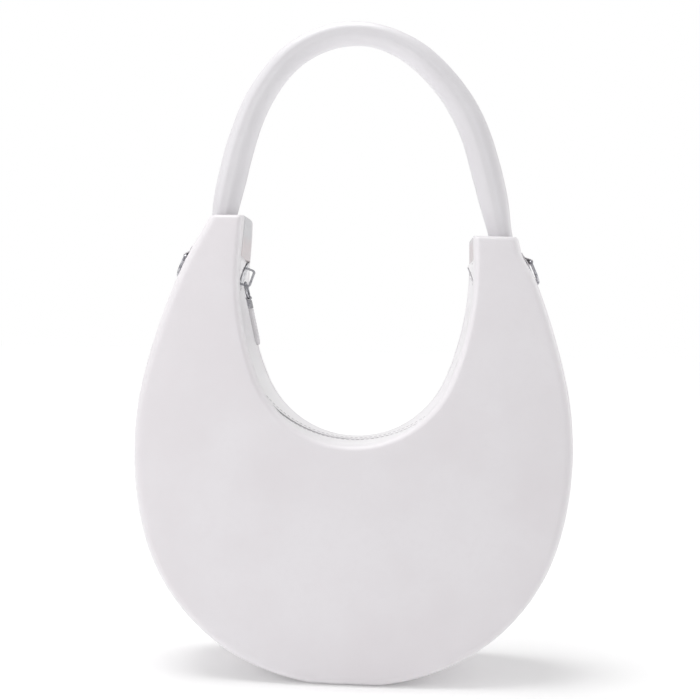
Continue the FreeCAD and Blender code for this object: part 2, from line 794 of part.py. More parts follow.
slider_bail = slider_body("slider_bail")
bail_floor = "%s + slider_plate" % upper_floor
bail_sketch = body_sketch(slider_bail, "bail_arch", "XZ_Plane", "0 - bail_width / 2")


def arch_run(half, height, corner):
    shoulder = "%s + %s - (%s)" % (bail_floor, height, corner)
    return [
        ("-(%s)" % half, bail_floor, LINE),
        ("-(%s)" % half, shoulder, LINE),
        ("-(%s) + %s" % (half, corner), "%s + %s" % (bail_floor, height), corner),
        ("%s - (%s)" % (half, corner), "%s + %s" % (bail_floor, height), LINE),
        (half, shoulder, corner),
        (half, bail_floor, LINE),
    ]


bail_outer = arch_run("bail_length / 2", "bail_height", "bail_round")
bail_inner = arch_run("bail_length / 2 - bail_wall", "bail_height - bail_wall", "bail_round - bail_wall")
draw(bail_sketch, ribbon_path(bail_outer, bail_inner, "cw"))
pad(slider_bail, bail_sketch, "bail_width")
doc.recompute()

# Zip pull: a ring through the bail, a clamp on the ring and a leather tab in the clamp, hanging askew

pin_x = "bail_length / 2 - bail_wall - pull_ring_wire / 2 - pull_clearance"
pin_z = "%s + (bail_height - bail_wall) / 2" % bail_floor
pull_pin = slider_bail.Placement.multVec(FreeCAD.Vector(number(pin_x), 0, number(pin_z)))
pull_turn = FreeCAD.Rotation(across, -number("pull_lean"))
ring_drop = pull_turn.multVec(FreeCAD.Vector(0, 0, number("pull_ring_radius")))
clamp_pin = pull_pin - ring_drop * 2

pull_ring = doc.addObject("Part::Torus", "pull_ring")
pull_ring.Placement = FreeCAD.Placement(pull_pin - ring_drop, pull_turn * FreeCAD.Rotation(across, 90))
bind(pull_ring, Radius1="pull_ring_radius", Radius2="pull_ring_wire / 2")

clamp_hole = "pull_ring_wire / 2 + pull_clearance"
clamp_half = "(tab_neck_thickness / 2 + clamp_wall)"
pull_clamp = new_body("pull_clamp")
pull_clamp.Placement = FreeCAD.Placement(clamp_pin, pull_turn)
eye_sketch = body_sketch(pull_clamp, "clamp_eye", "XZ_Plane", "0 - clamp_eye_width / 2")
circle(eye_sketch, "0", "0", "%s + clamp_wall" % clamp_hole)
circle(eye_sketch, "0", "0", clamp_hole)
pad(pull_clamp, eye_sketch, "clamp_eye_width")
clamp_top = "0 - (%s) - clamp_wall / 2" % clamp_hole
clamp_foot = "%s - clamp_length" % clamp_top
plate_sketch = body_sketch(pull_clamp, "clamp_plate", "XZ_Plane", "0 - clamp_width / 2")
draw(plate_sketch, rectangle("0 - %s" % clamp_half, clamp_half, clamp_foot, clamp_top))
pad(pull_clamp, plate_sketch, "clamp_width")
slot_sketch = body_sketch(pull_clamp, "clamp_slot", "XY_Plane", clamp_foot)
slot_x = "tab_neck_thickness / 2 + layer_gap"
slot_y = "tab_neck_width / 2 + layer_gap"
draw(slot_sketch, rectangle("-(%s)" % slot_x, slot_x, "-(%s)" % slot_y, slot_y))
doc.recompute()
slot = pull_clamp.newObject("PartDesign::Pocket", "clamp_slot_cut")
slot.Profile = slot_sketch
slot.Reversed = True
bind(slot, Length="tab_grip + layer_gap")

pull_tab = new_body("pull_tab")
pull_tab.Placement = FreeCAD.Placement(clamp_pin, pull_turn)
tab_sketch = body_sketch(pull_tab, "tab_outline", "YZ_Plane", "0 - tab_thickness / 2")
tab_head = "%s - layer_gap" % clamp_foot
tab_shoulder = "%s - tab_length + tab_width / 2" % tab_head
tab_path = [
    ("0 - tab_width / 2", tab_head, LINE, LINE),
    ("0 - tab_width / 2", tab_shoulder, "tab_width / 2", "ccw"),
    ("0", "%s - tab_width / 2" % tab_shoulder, "tab_width / 2", "ccw"),
    ("tab_width / 2", tab_shoulder, LINE, LINE),
    ("tab_width / 2", tab_head, LINE, LINE),
]
draw(tab_sketch, tab_path)
pad(pull_tab, tab_sketch, "tab_thickness")
neck_sketch = body_sketch(pull_tab, "tab_neck", "YZ_Plane", "0 - tab_neck_thickness / 2")
neck_path = rectangle(
    "0 - tab_neck_width / 2", "tab_neck_width / 2", "%s - layer_gap" % tab_head, "%s + tab_grip" % tab_head
)
draw(neck_sketch, neck_path)
pad(pull_tab, neck_sketch, "tab_neck_thickness")

# Hand over: every node is checked, then written under its own name

nodes = [front_panel, back_panel, outer_gusset, front_board, back_board, base_board]
nodes += [front_lining, back_lining, gusset_lining, front_zip_facing, back_zip_facing]
nodes += zip_tapes + zip_rows + [zip_end_stops, left_zip_end_tab, right_zip_end_tab]
nodes += [left_horn_cap, right_horn_cap, handle_cover, handle_core]
nodes += [left_strap_loop, right_strap_loop, left_strap_ring, right_strap_ring]
nodes += [zip_slider, slider_bail, pull_ring, pull_clamp, pull_tab]
doc.recompute()
faults = [item.Name for item in doc.Objects if "Invalid" in item.State or "Error" in item.State]
if faults:
    raise ValueError("objects that did not build: " + ", ".join(faults))
for node in nodes:
    shape = node.Shape
    if shape.isNull() or not shape.isValid() or not shape.Solids:
        raise ValueError("no sound solid: " + node.Label)
    shape.exportStep("parts/%s.step" % node.Label)
    print(node.Label, len(shape.Solids), round(shape.Volume))
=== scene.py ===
import math

import bpy
import numpy as np
from mathutils import Matrix, Vector


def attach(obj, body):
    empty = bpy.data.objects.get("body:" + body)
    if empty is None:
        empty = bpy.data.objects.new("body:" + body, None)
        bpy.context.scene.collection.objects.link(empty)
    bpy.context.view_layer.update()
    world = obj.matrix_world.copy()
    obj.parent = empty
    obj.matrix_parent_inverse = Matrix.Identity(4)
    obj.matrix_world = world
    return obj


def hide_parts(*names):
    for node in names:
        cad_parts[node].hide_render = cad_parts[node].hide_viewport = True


# Half moon bag in white leather. Shapes are worked out in millimetres and written to the meshes in metres.

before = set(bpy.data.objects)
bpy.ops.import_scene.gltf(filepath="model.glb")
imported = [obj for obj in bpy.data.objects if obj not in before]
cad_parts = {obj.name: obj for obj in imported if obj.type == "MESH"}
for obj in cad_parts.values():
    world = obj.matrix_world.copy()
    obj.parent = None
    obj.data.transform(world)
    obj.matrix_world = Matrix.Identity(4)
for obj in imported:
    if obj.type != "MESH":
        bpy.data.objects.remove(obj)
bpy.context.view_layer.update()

millimetre = 0.001
scene = bpy.context.scene


# Node tools, for materials and for geometry

class Wire:
    # A value that runs between nodes, so that sums can be written as formulas
    def __init__(self, tree, socket):
        self.tree = tree
        self.socket = socket

    def __add__(self, other):
        return calc("ADD", self, other)

    def __sub__(self, other):
        return calc("SUBTRACT", self, other)

    def __mul__(self, other):
        return calc("MULTIPLY", self, other)


def wires(tree, node):
    return {socket.name: Wire(tree, socket) for socket in node.outputs}


def startTree(name, kind, inputs, outputs):
    tree = bpy.data.node_groups.new(name, kind)
    for way, sockets in (("INPUT", inputs), ("OUTPUT", outputs)):
        for label, socketType in sockets.items():
            tree.interface.new_socket(label, in_out=way, socket_type="NodeSocket" + socketType)
    return tree, wires(tree, tree.nodes.new("NodeGroupInput")), tree.nodes.new("NodeGroupOutput")


def plug(tree, node, sockets):
    # Links what comes from another node and sets what is a plain value
    for label, value in sockets.items():
        if isinstance(value, Wire):
            tree.links.new(value.socket, node.inputs[label])
        else:
            node.inputs[label].default_value = value


def putNode(tree, kind, sockets=None, **settings):
    made = tree.nodes.new(kind)
    for key, value in settings.items():
        setattr(made, key, value)
    plug(tree, made, sockets or {})
    return made


def put(tree, kind, sockets=None, out=0, **settings):
    return Wire(tree, putNode(tree, kind, sockets, **settings).outputs[out])


def endTree(tree, result, shape, material):
    # A geometry tree ends in smooth, real geometry with its material
    for kind in ("SetShadeSmooth", "RealizeInstances"):
        shape = put(tree, "GeometryNode" + kind, {"Geometry": shape})
    plug(tree, result, {0: put(tree, "GeometryNodeSetMaterial", {"Geometry": shape, "Material": material})})
    return tree


def calc(operation, *values):
    return put(values[0].tree, "ShaderNodeMath", dict(enumerate(values)), operation=operation)


def ramp(value, fromLow, fromHigh, toLow=0.0, toHigh=1.0):
    sockets = {"Value": value, "From Min": fromLow, "From Max": fromHigh, "To Min": toLow, "To Max": toHigh}
    return put(value.tree, "ShaderNodeMapRange", sockets, "Result", interpolation_type="SMOOTHSTEP")


def mixColour(factor, first, second):
    return put(factor.tree, "ShaderNodeMix", {0: factor, 6: first, 7: second}, 2, data_type="RGBA")


def noise(place, scale, detail):
    return put(place.tree, "ShaderNodeTexNoise", {"Vector": place, "Scale": scale, "Detail": detail})


# Shared surface effects

surfaceOutputs = {"Color": "Color", "Roughness": "Float", "Height": "Float"}

leatherLook = {
    "cloudScale": 16.0, "cloudFrom": 0.35, "cloudTo": 0.7, "cloudRough": 0.16,
    "mottleScale": 260.0, "mottleHeight": 0.35, "fleckFrom": 0.45, "fleckTo": 0.75, "fleck": 0.25,
    "poreRough": 0.12, "poreHeight": 0.5, "pebbleHeight": 0.7,
    "rubFrom": 0.3, "rubTo": 0.6, "rubLeast": 0.55, "rubShine": 0.08,
}


def leatherEffect():
    # Fine pebbled grain, faint clouding of the colour, and a third tint along edges: rubbed wear, and on
    # the white leathers also a lighter painted highlight
    look = leatherLook
    inputs = {
        "Tint": "Color", "Shadow Tint": "Color", "Wear And Highlight Tint": "Color",
        "Grain Scale": "Float", "Roughness": "Float", "Wear And Highlight": "Float",
    }
    tree, given, result = startTree("leatherEffect", "ShaderNodeTree", inputs, surfaceOutputs)
    place = put(tree, "ShaderNodeTexCoord", out="Object")
    clouds = noise(place, look["cloudScale"], 3.0)
    mottle = noise(place, look["mottleScale"], 2.0)
    pores = noise(place, given["Grain Scale"], 4.0)
    grain = {"Vector": place, "Scale": given["Grain Scale"]}
    pebbles = put(tree, "ShaderNodeTexVoronoi", grain, "Distance", feature="SMOOTH_F1")
    cloudMask = ramp(clouds, look["cloudFrom"], look["cloudTo"])
    body = mixColour(cloudMask, given["Tint"], given["Shadow Tint"])
    fleck = ramp(mottle, look["fleckFrom"], look["fleckTo"]) * look["fleck"]
    body = mixColour(fleck, body, given["Shadow Tint"])
    # Where the attribute is set the colour goes to the edge tint: rubbed wear, and on the white leathers a
    # lighter painted highlight
    rubMask = given["Wear And Highlight"] * ramp(mottle, look["rubFrom"], look["rubTo"], look["rubLeast"])
    rough = given["Roughness"] + (clouds - 0.5) * look["cloudRough"] + (pores - 0.5) * look["poreRough"]
    height = pebbles * look["pebbleHeight"] + pores * look["poreHeight"] + mottle * look["mottleHeight"]
    plug(tree, result, {
        "Color": mixColour(rubMask, body, given["Wear And Highlight Tint"]),
        "Roughness": rough - rubMask * look["rubShine"],
        "Height": height,
    })
    return tree


weaveLook = {"gapRough": 0.85, "threadRough": 0.6}


def weaveEffect():
    # Two crossed sets of threads, read from the piece's own UV map in metres
    inputs = {"Thread": "Color", "Gap": "Color", "Threads Per Metre": "Float", "Slant": "Float"}
    tree, given, result = startTree("weaveEffect", "ShaderNodeTree", inputs, surfaceOutputs)
    flat = wires(tree, putNode(tree, "ShaderNodeSeparateXYZ", {0: put(tree, "ShaderNodeUVMap")}))
    warp = flat["X"] + flat["Y"] * given["Slant"]
    weft = flat["Y"] - flat["X"] * given["Slant"]
    waves = []
    for way in (warp, weft):
        turn = way * given["Threads Per Metre"] * (2 * math.pi)
        waves.append(calc("ABSOLUTE", calc("SINE", turn)))
    cloth = calc("MAXIMUM", *waves)
    plug(tree, result, {
        "Color": mixColour(cloth, given["Gap"], given["Thread"]),
        "Roughness": ramp(cloth, 0.0, 1.0, weaveLook["gapRough"], weaveLook["threadRough"]),
        "Height": cloth,
    })
    return tree


metalLook = {
    "drawn": (1.0, 1.0, 0.06), "lineRough": 0.08,
    "smudgeScale": 420.0, "smudgeFrom": 0.4, "smudgeTo": 0.7, "smudgeRough": 0.14,
}


def metalEffect():
    # Plated metal: faint hairlines, soft smudges and a little dulling
    look = metalLook
    inputs = {"Bright": "Color", "Dull": "Color", "Roughness": "Float", "Hairlines": "Float"}
    tree, given, result = startTree("metalEffect", "ShaderNodeTree", inputs, surfaceOutputs)
    place = put(tree, "ShaderNodeTexCoord", out="Object")
    drawn = put(tree, "ShaderNodeMapping", {"Vector": place, "Scale": look["drawn"]})
    lines = noise(drawn, given["Hairlines"], 3.0)
    dulled = ramp(noise(place, look["smudgeScale"], 3.0), look["smudgeFrom"], look["smudgeTo"])
    plug(tree, result, {
        "Color": mixColour(dulled, given["Bright"], given["Dull"]),
        "Roughness": given["Roughness"] + dulled * look["smudgeRough"] + lines * look["lineRough"],
        "Height": lines,
    })
    return tree


leatherGroup = leatherEffect()
weaveGroup = weaveEffect()
metalGroup = metalEffect()


def shade(red, green, blue):
    # A colour seen on screen, 0 to 255, as the linear value that the shader takes
    screen = np.array([red, green, blue]) / 255
    linear = np.where(screen <= 0.04045, screen / 12.92, ((screen + 0.055) / 1.055) ** 2.4)
    return (*[float(part) for part in linear], 1.0)


def finishMaterial(name, group, values, bump, settings, rubbed=False):
    # One Principled surface fed by a shared effect; plain numbers stay on the shader's own sockets
    material = bpy.data.materials.new(name)
    material.use_nodes = True
    tree = material.node_tree
    if rubbed:
        values["Wear And Highlight"] = put(tree, "ShaderNodeAttribute", out="Fac", attribute_name="rub")
    effect = wires(tree, putNode(tree, "ShaderNodeGroup", values, node_tree=group))
    strength, depth = bump
    relief = {"Strength": strength, "Distance": depth * millimetre, "Height": effect["Height"]}
    plug(tree, tree.nodes["Principled BSDF"], {
        "Base Color": effect["Color"], "Roughness": effect["Roughness"],
        "Normal": put(tree, "ShaderNodeBump", relief), **settings,
    })
    return material


satin = {"Specular IOR Level": 0.42, "Coat Weight": 0.06, "Coat Roughness": 0.35, "Sheen Weight": 0.04}


def leather(name, tints, grain, rough, bump, settings=satin, rubbed=True):
    # tints: the plain, the clouded and the one for edges, which on the white leathers is lighter, partly
    # rubbed wear and partly a painted highlight; bump: its strength and its depth in millimetres
    plain, clouded, worn = [shade(*tint) for tint in tints]
    values = {"Tint": plain, "Shadow Tint": clouded, "Wear And Highlight Tint": worn}
    values.update({"Grain Scale": grain, "Roughness": rough})
    return finishMaterial(name, leatherGroup, values, bump, settings, rubbed)


def weave(name, thread, gap, perMetre, slant, bump, sheen, gloss):
    values = {"Thread": shade(*thread), "Gap": shade(*gap), "Threads Per Metre": perMetre, "Slant": slant}
    settings = {"Sheen Weight": sheen, "Specular IOR Level": gloss}
    return finishMaterial(name, weaveGroup, values, bump, settings)


def metal(name, bright, dull, rough, hairlines):
    values = {"Bright": shade(*bright), "Dull": shade(*dull), "Roughness": rough, "Hairlines": hairlines}
    return finishMaterial(name, metalGroup, values, (0.05, 0.05), {"Metallic": 1.0})


# The white leather's edge tint is lighter than its face: the rolled edges show rubbed wear and a painted
# highlight
whiteLeather = leather(
    "whiteLeather", [(232, 229, 232), (228, 224, 227), (238, 236, 238)], 1500.0, 0.43, (0.12, 0.25))
# A lighter copy of the white leather, as painted highlight on the zip facings, which face up into the light
highlitFacingLeather = leather(
    "highlitFacingLeather", [(242, 241, 242), (238, 236, 238), (246, 245, 246)], 1500.0, 0.45, (0.1, 0.25))
# A darker copy of the white leather: partly the handle's own tone, partly painted shade against the light
# that the floor throws up under the handle
shadedHandleLeather = leather(
    "shadedHandleLeather", [(225, 223, 226), (220, 218, 221), (230, 229, 231)], 1800.0, 0.4, (0.14, 0.25),
    rubbed=False)
# A darker copy of the white leather: partly a duller, suede-like leather, partly painted shade of the
# horns' inner faces, which turn away from the key light
shadedPatchLeather = leather(
    "shadedPatchLeather", [(217, 217, 219), (212, 212, 214), (218, 210, 211)], 1300.0, 0.5, (0.16, 0.25),
    {"Specular IOR Level": 0.35, "Sheen Weight": 0.05})
tabLeather = leather(
    "tabLeather", [(230, 228, 231), (222, 220, 223), (214, 211, 213)], 1900.0, 0.45, (0.16, 0.2))
paleTeeth = leather(
    "paleTeeth", [(240, 239, 240), (234, 233, 235), (240, 239, 240)], 2600.0, 0.38, (0.04, 0.1),
    {"Specular IOR Level": 0.5}, rubbed=False)
greyBoard = leather(
    "greyBoard", [(172, 166, 156), (150, 144, 136), (180, 176, 168)], 700.0, 0.85, (0.3, 0.3),
    {"Specular IOR Level": 0.2}, rubbed=False)
tapeWeave = weave("tapeWeave", (222, 221, 223), (168, 166, 168), 1300.0, 0.6, (0.5, 0.12), 0.2, 0.25)
liningWeave = weave("liningWeave", (236, 234, 231), (212, 209, 205), 900.0, 0.35, (0.3, 0.1), 0.3, 0.3)
threadTwist = weave("threadTwist", (236, 234, 235), (206, 204, 206), 3000.0, 1.0, (0.3, 0.05), 0.15, 0.4)
zipMetal = metal("zipMetal", (196, 196, 200), (160, 160, 165), 0.2, 2600.0)
ringMetal = metal("ringMetal", (188, 188, 192), (140, 140, 146), 0.16, 2200.0)
print("materials:", len(bpy.data.materials))


# Mesh tools

def gridFaces(rows, columns, closed=False):
    faces = []
    for row in range(rows - 1):
        near, far = row * columns, (row + 1) * columns
        for column in range(columns if closed else columns - 1):
            following = (column + 1) % columns
            faces.append((near + column, near + following, far + following, far + column))
    return faces


def cappedFaces(rows, columns):
    # A closed grid with a face over its first and its last ring
    caps = [tuple(range(columns))[::-1], tuple(range((rows - 1) * columns, rows * columns))]
    return gridFaces(rows, columns, closed=True) + caps


def makePiece(name, points, faces, material, lookFrom=None, lookAt=None, edges=(), rub=None):
    # Faces are turned away from lookFrom, or towards lookAt
    points = np.asarray(points, float)
    if faces:
        corners = [points[[face[turn % len(face)] for face in faces]] for turn in range(4)]
        spread = np.cross(corners[2] - corners[0], corners[3] - corners[1])
        middle = np.array([points[list(face)].mean(0) for face in faces])
        away = middle - np.array(lookFrom) if lookFrom is not None else np.array(lookAt) - middle
        if (spread * away).sum() < 0:
            faces = [tuple(reversed(face)) for face in faces]
    mesh = bpy.data.meshes.new(name)
    mesh.from_pydata([tuple(point) for point in points * millimetre], list(edges), faces)
    mesh.polygons.foreach_set("use_smooth", [True] * len(mesh.polygons))
    if rub is not None:
        values = np.asarray(rub, np.float32).ravel()
        mesh.attributes.new("rub", "FLOAT", "POINT").data.foreach_set("value", values)
    if material:
        mesh.materials.append(material)
    piece = bpy.data.objects.new(name, mesh)
    scene.collection.objects.link(piece)
    return piece


def makeGrid(name, grid, material, **look):
    return makePiece(name, grid.reshape(-1, 3), gridFaces(*grid.shape[:2]), material, **look)


def makeLines(name, lines):
    # Open runs of points, joined by edges
    points, edges = [], []
    for line in lines:
        first = len(points)
        points += [tuple(point) for point in line]
        edges += [(step, step + 1) for step in range(first, len(points) - 1)]
    return makePiece(name, points, [], None, edges=edges)


def plainMesh(piece):
    # Turns the evaluated piece into a plain mesh and drops its modifiers
    depsgraph = bpy.context.evaluated_depsgraph_get()
    mesh = bpy.data.meshes.new_from_object(
        piece.evaluated_get(depsgraph), preserve_all_data_layers=True, depsgraph=depsgraph)
    mesh.name = piece.name
    piece.modifiers.clear()
    old = piece.data
    piece.data = mesh
    bpy.data.meshes.remove(old)


def thicken(piece, thickness):
    wall = piece.modifiers.new("wall", "SOLIDIFY")
    wall.thickness = thickness * millimetre
    wall.offset = -1.0
    wall.use_even_offset = False
    plainMesh(piece)


def setUv(piece, across, along):
    # A flat map in metres, one pair per point
    layer = piece.data.uv_layers.new(name="flatMap")
    corners = np.zeros(len(piece.data.loops), np.int32)
    piece.data.loops.foreach_get("vertex_index", corners)
    pairs = np.stack([np.ravel(across), np.ravel(along)], 1)[corners] * millimetre
    layer.data.foreach_set("uv", pairs.astype(np.float32).ravel())


def smoothStep(value):
    value = np.clip(value, 0, 1)
    return value * value * (3 - 2 * value)


def unit(ways):
    return ways / np.linalg.norm(ways, axis=1)[:, None]


def tangents(line):
    return unit(np.gradient(line, axis=0))


def quarterTurn(ways):
    return np.stack([-ways[:, 1], ways[:, 0]], 1)


def lengthsAlong(line):
    return np.concatenate([[0], np.cumsum(np.hypot(*np.diff(line, axis=0).T))])


def inSpace(flat, y):
    # Points of the front view, x and z, set at the depth y
    return np.stack([flat[..., 0], y, flat[..., 1]], -1)


# Outline of the crescent: tangent arcs, with a heading of 0 along the bottom and 90 straight up

bagShape = {
    "flatLength": 40, "bottomRadius": 143, "cornerRadius": 115, "sideRadius": 190, "shoulderRadius": 420,
    "cornerHeading": 26, "sideHeading": 74, "shoulderHeading": 103, "hornHeading": 115.6,
    "notchDepth": 128, "notchRadius": 61.5, "notchLip": 15.83, "notchHeading": 68, "notchEndHeading": 92,
    "halfDepth": 40, "bellyHeight": 39, "hornHalfDepth": 22.5, "domeRadius": 1000,
    "leftTop": 274.4, "rightTop": 264.0,  # the soft horns stand up and slump a little
    "outerCorner": 1.8, "notchCorner": 1.6,
    "notchTight": 0.6, "topTight": 0.45,  # rolls at the notch and the horn tops are tighter than outside
    "levelReach": 34, "leastRise": 0.2,
    "bodyMiddle": (0, 0, 110), "bandMiddle": (0, 0, 120),  # faces look away from these
}
sameSpot = 1e-6
tiny = 1e-9


def arcPoint(centre, radius, heading):
    turn = math.radians(heading)
    return centre[0] + radius * math.sin(turn), centre[1] - radius * math.cos(turn)


def arcRun(centre, radius, first, last):
    headings = np.linspace(first, last, max(12, int(abs(last - first) * 3)))
    return [(*arcPoint(centre, radius, heading), heading) for heading in headings]


def outerHalf(top=None):
    # The right half of the outer edge, from the middle of the base up to a horn top
    radius, foot = bagShape["bottomRadius"], bagShape["flatLength"] / 2
    centre = (0, math.sqrt(radius ** 2 - foot ** 2))
    start = math.degrees(math.asin(foot / radius))
    run = [(0, 0, 0), (foot, 0, 0)]
    for part in ("corner", "side", "shoulder"):
        heading, following = bagShape[part + "Heading"], bagShape[part + "Radius"]
        run += arcRun(centre, radius, start, heading)
        centre = arcPoint(centre, radius - following, heading)
        start, radius = heading, following
    end = math.degrees(math.acos((centre[1] - top) / radius)) if top else bagShape["hornHeading"]
    return run + arcRun(centre, radius, start, end)


hornTop = outerHalf()[-1][1]


def notchSideArc():
    depth, notch, heading = bagShape["notchDepth"], bagShape["notchRadius"], bagShape["notchHeading"]
    turn, end = math.radians(heading), math.radians(bagShape["notchEndHeading"])
    rise = depth - bagShape["notchLip"] - notch * (1 - math.cos(turn))
    radius = rise / (math.cos(turn) - math.cos(end))
    bottom = (0, hornTop - depth + notch)
    return bottom, arcPoint(bottom, notch - radius, heading), radius


def notchHalf(top):
    bottom, sideCentre, sideRadius = notchSideArc()
    heading, last = bagShape["notchHeading"], bagShape["notchEndHeading"]
    run = arcRun(bottom, bagShape["notchRadius"], 0, heading)
    run += arcRun(sideCentre, sideRadius, heading, last)
    lastX, lastZ = run[-1][:2]
    return run + [(lastX + (top - lastZ) / math.tan(math.radians(last)), top, last)]


def wholeEdge(half, corner, into, heading):
    # Two halves, each from the middle upwards, joined into one run from the left horn to the right one
    left, right = np.array(half(bagShape["leftTop"])), np.array(half(bagShape["rightTop"]))
    run = np.concatenate([left[::-1] * (-1, 1, -1), right])
    steps = np.hypot(*np.diff(run[:, :2], axis=0).T)
    run = run[np.concatenate([[True], steps > sameSpot])]
    distance = lengthsAlong(run[:, :2])
    slant = math.tan(math.radians(bagShape[heading] - 90))
    return {"run": run, "distance": distance, "length": distance[-1],
            "corner": bagShape[corner], "into": into, "slant": slant}


def alongEdge(edge, distances):
    x, z, heading = [np.interp(distances, edge["distance"], column) for column in edge["run"].T]
    return np.stack([x, z], 1), np.radians(heading)


def topAt(x):
    return np.where(np.asarray(x) < 0, bagShape["leftTop"], bagShape["rightTop"])


outerEdge = wholeEdge(outerHalf, "outerCorner", -1, "hornHeading")
notchEdge = wholeEdge(notchHalf, "notchCorner", 1, "notchEndHeading")
print("outline: horn tops at", bagShape["leftTop"], "and", bagShape["rightTop"], "mm")


def frontY(x, z, level=0.0):
    # The domed front face, or a face that lies level millimetres behind it
    half, belly, dome = bagShape["halfDepth"], bagShape["bellyHeight"], bagShape["domeRadius"]
    slim = half - bagShape["hornHalfDepth"]
    profile = ((hornTop - belly) ** 2 + slim ** 2) / (2 * slim)
    near = profile - half - np.sqrt((profile - level) ** 2 - (z - belly) ** 2)
    return dome - half - np.sqrt((dome - half - near) ** 2 - x ** 2)


def inward(points, headings, edge, distances):
    # Into the leather: square to the edge, and level near the horn tops, so that the corners meet
    side = -edge["into"]
    rise = np.maximum(np.abs(np.sin(headings)), bagShape["leastRise"])
    square = np.stack([-np.sin(headings), np.cos(headings)], 1) * side
    flat = np.stack([-side * np.sign(points[:, 0]) / rise, points[:, 1] * 0], 1)
    fromTop = np.minimum(distances, edge["length"] - distances)
    share = smoothStep(1 - fromTop / bagShape["levelReach"])[:, None]
    return square * (1 - share) + flat * share


def roundedCorner(edgeGap, topGap, radius):
    # A square corner drawn in to a round one: how far in and how far down each point goes
    side = np.clip(radius - edgeGap, 0, radius)
    top = np.clip(radius - topGap, 0, radius)
    shrink = np.maximum(np.maximum(side, top), tiny) / np.maximum(np.hypot(side, top), tiny)
    return side * (1 - shrink), top * (1 - shrink)


def hornPoint(edge, side, inGap, topGap):
    # A point beside a horn top, inGap in from the edge and topGap down from the top, on the rounded corner
    end = edge["run"][-1 if side > 0 else 0]
    goIn, goDown = roundedCorner(inGap, topGap, edge["corner"])
    x = end[0] + side * (edge["into"] * (inGap + goIn) + edge["slant"] * (topGap + goDown))
    return float(x), float(end[1] - topGap - goDown)


hornFold = {
    "rise": 3, "riseSteps": 12, "cornerSteps": 6,
    "inside": [(0.35, 0.25), (0.5, 0.9), (0.55, 1.8), (0.6, 3.0)],  # past the corner, and down from the top
}


def foldedEnd(edge, side):
    # The last stretch of a band at a horn top: up, over the rounded corner and down inside the horn
    corner = edge["corner"]
    steps = [(0, gap) for gap in np.linspace(corner + hornFold["rise"], 0, hornFold["riseSteps"])]
    steps += [(gap, 0) for gap in np.linspace(0, corner, hornFold["cornerSteps"])[1:]]
    steps += [(corner + past, down) for past, down in hornFold["inside"]]
    return np.array([hornPoint(edge, side, inGap, topGap) for inGap, topGap in steps])


def bandWays(spots, edge):
    # Unit steps from a band into the leather, square to its own line
    return -quarterTurn(tangents(spots)) * edge["into"]


# The soft horns: the left one leans in and twists, the right one is pinched where its strap loop is sewn on

hornSag = {
    "start": 222.0, "rise": 45.0, "shift": 1.3, "skew": 0.7, "reach": 15.0,
    "zipGap": 7.0, "zipFade": 7.0, "zipTop": 246.0, "zipRise": 4,
    "pinch": 2.2, "pinchHeight": 252.0, "pinchReach": 8.0, "pinchIn": 82.0, "pinchOut": 98.0,
    "slim": 1.2, "slimIn": 78.0, "slimOut": 90.0, "slimStart": 245.0, "slimRise": 25.0,
}


def pinchAt(z):
    return hornSag["pinch"] * np.exp(-((z - hornSag["pinchHeight"]) / hornSag["pinchReach"]) ** 2)


def sagged(points):
    sag = hornSag
    x, y, z = points[..., 0], points[..., 1], points[..., 2]
    lean = smoothStep((z - sag["start"]) / sag["rise"])
    lean = lean * (sag["shift"] + sag["skew"] * np.clip(y / sag["reach"], -1, 1))
    clearOfZip = smoothStep((np.abs(y) - sag["zipGap"]) / sag["zipFade"])
    lean = lean * np.maximum(clearOfZip, smoothStep((z - sag["zipTop"]) / sag["zipRise"]))
    slim = smoothStep((-x - sag["slimIn"]) / (sag["slimOut"] - sag["slimIn"]))
    lean = lean + sag["slim"] * slim * smoothStep((z - sag["slimStart"]) / sag["slimRise"])
    pinch = pinchAt(z) * smoothStep((x - sag["pinchIn"]) / (sag["pinchOut"] - sag["pinchIn"]))
    moved = points.copy()
    moved[..., 0] = x + np.where(x < 0, lean, -pinch)
    return moved


rollSteps = 11
# Share of the lighter edge tint on the turned rims: partly rubbed wear, partly painted highlight
rimWearAndHighlight = 0.5


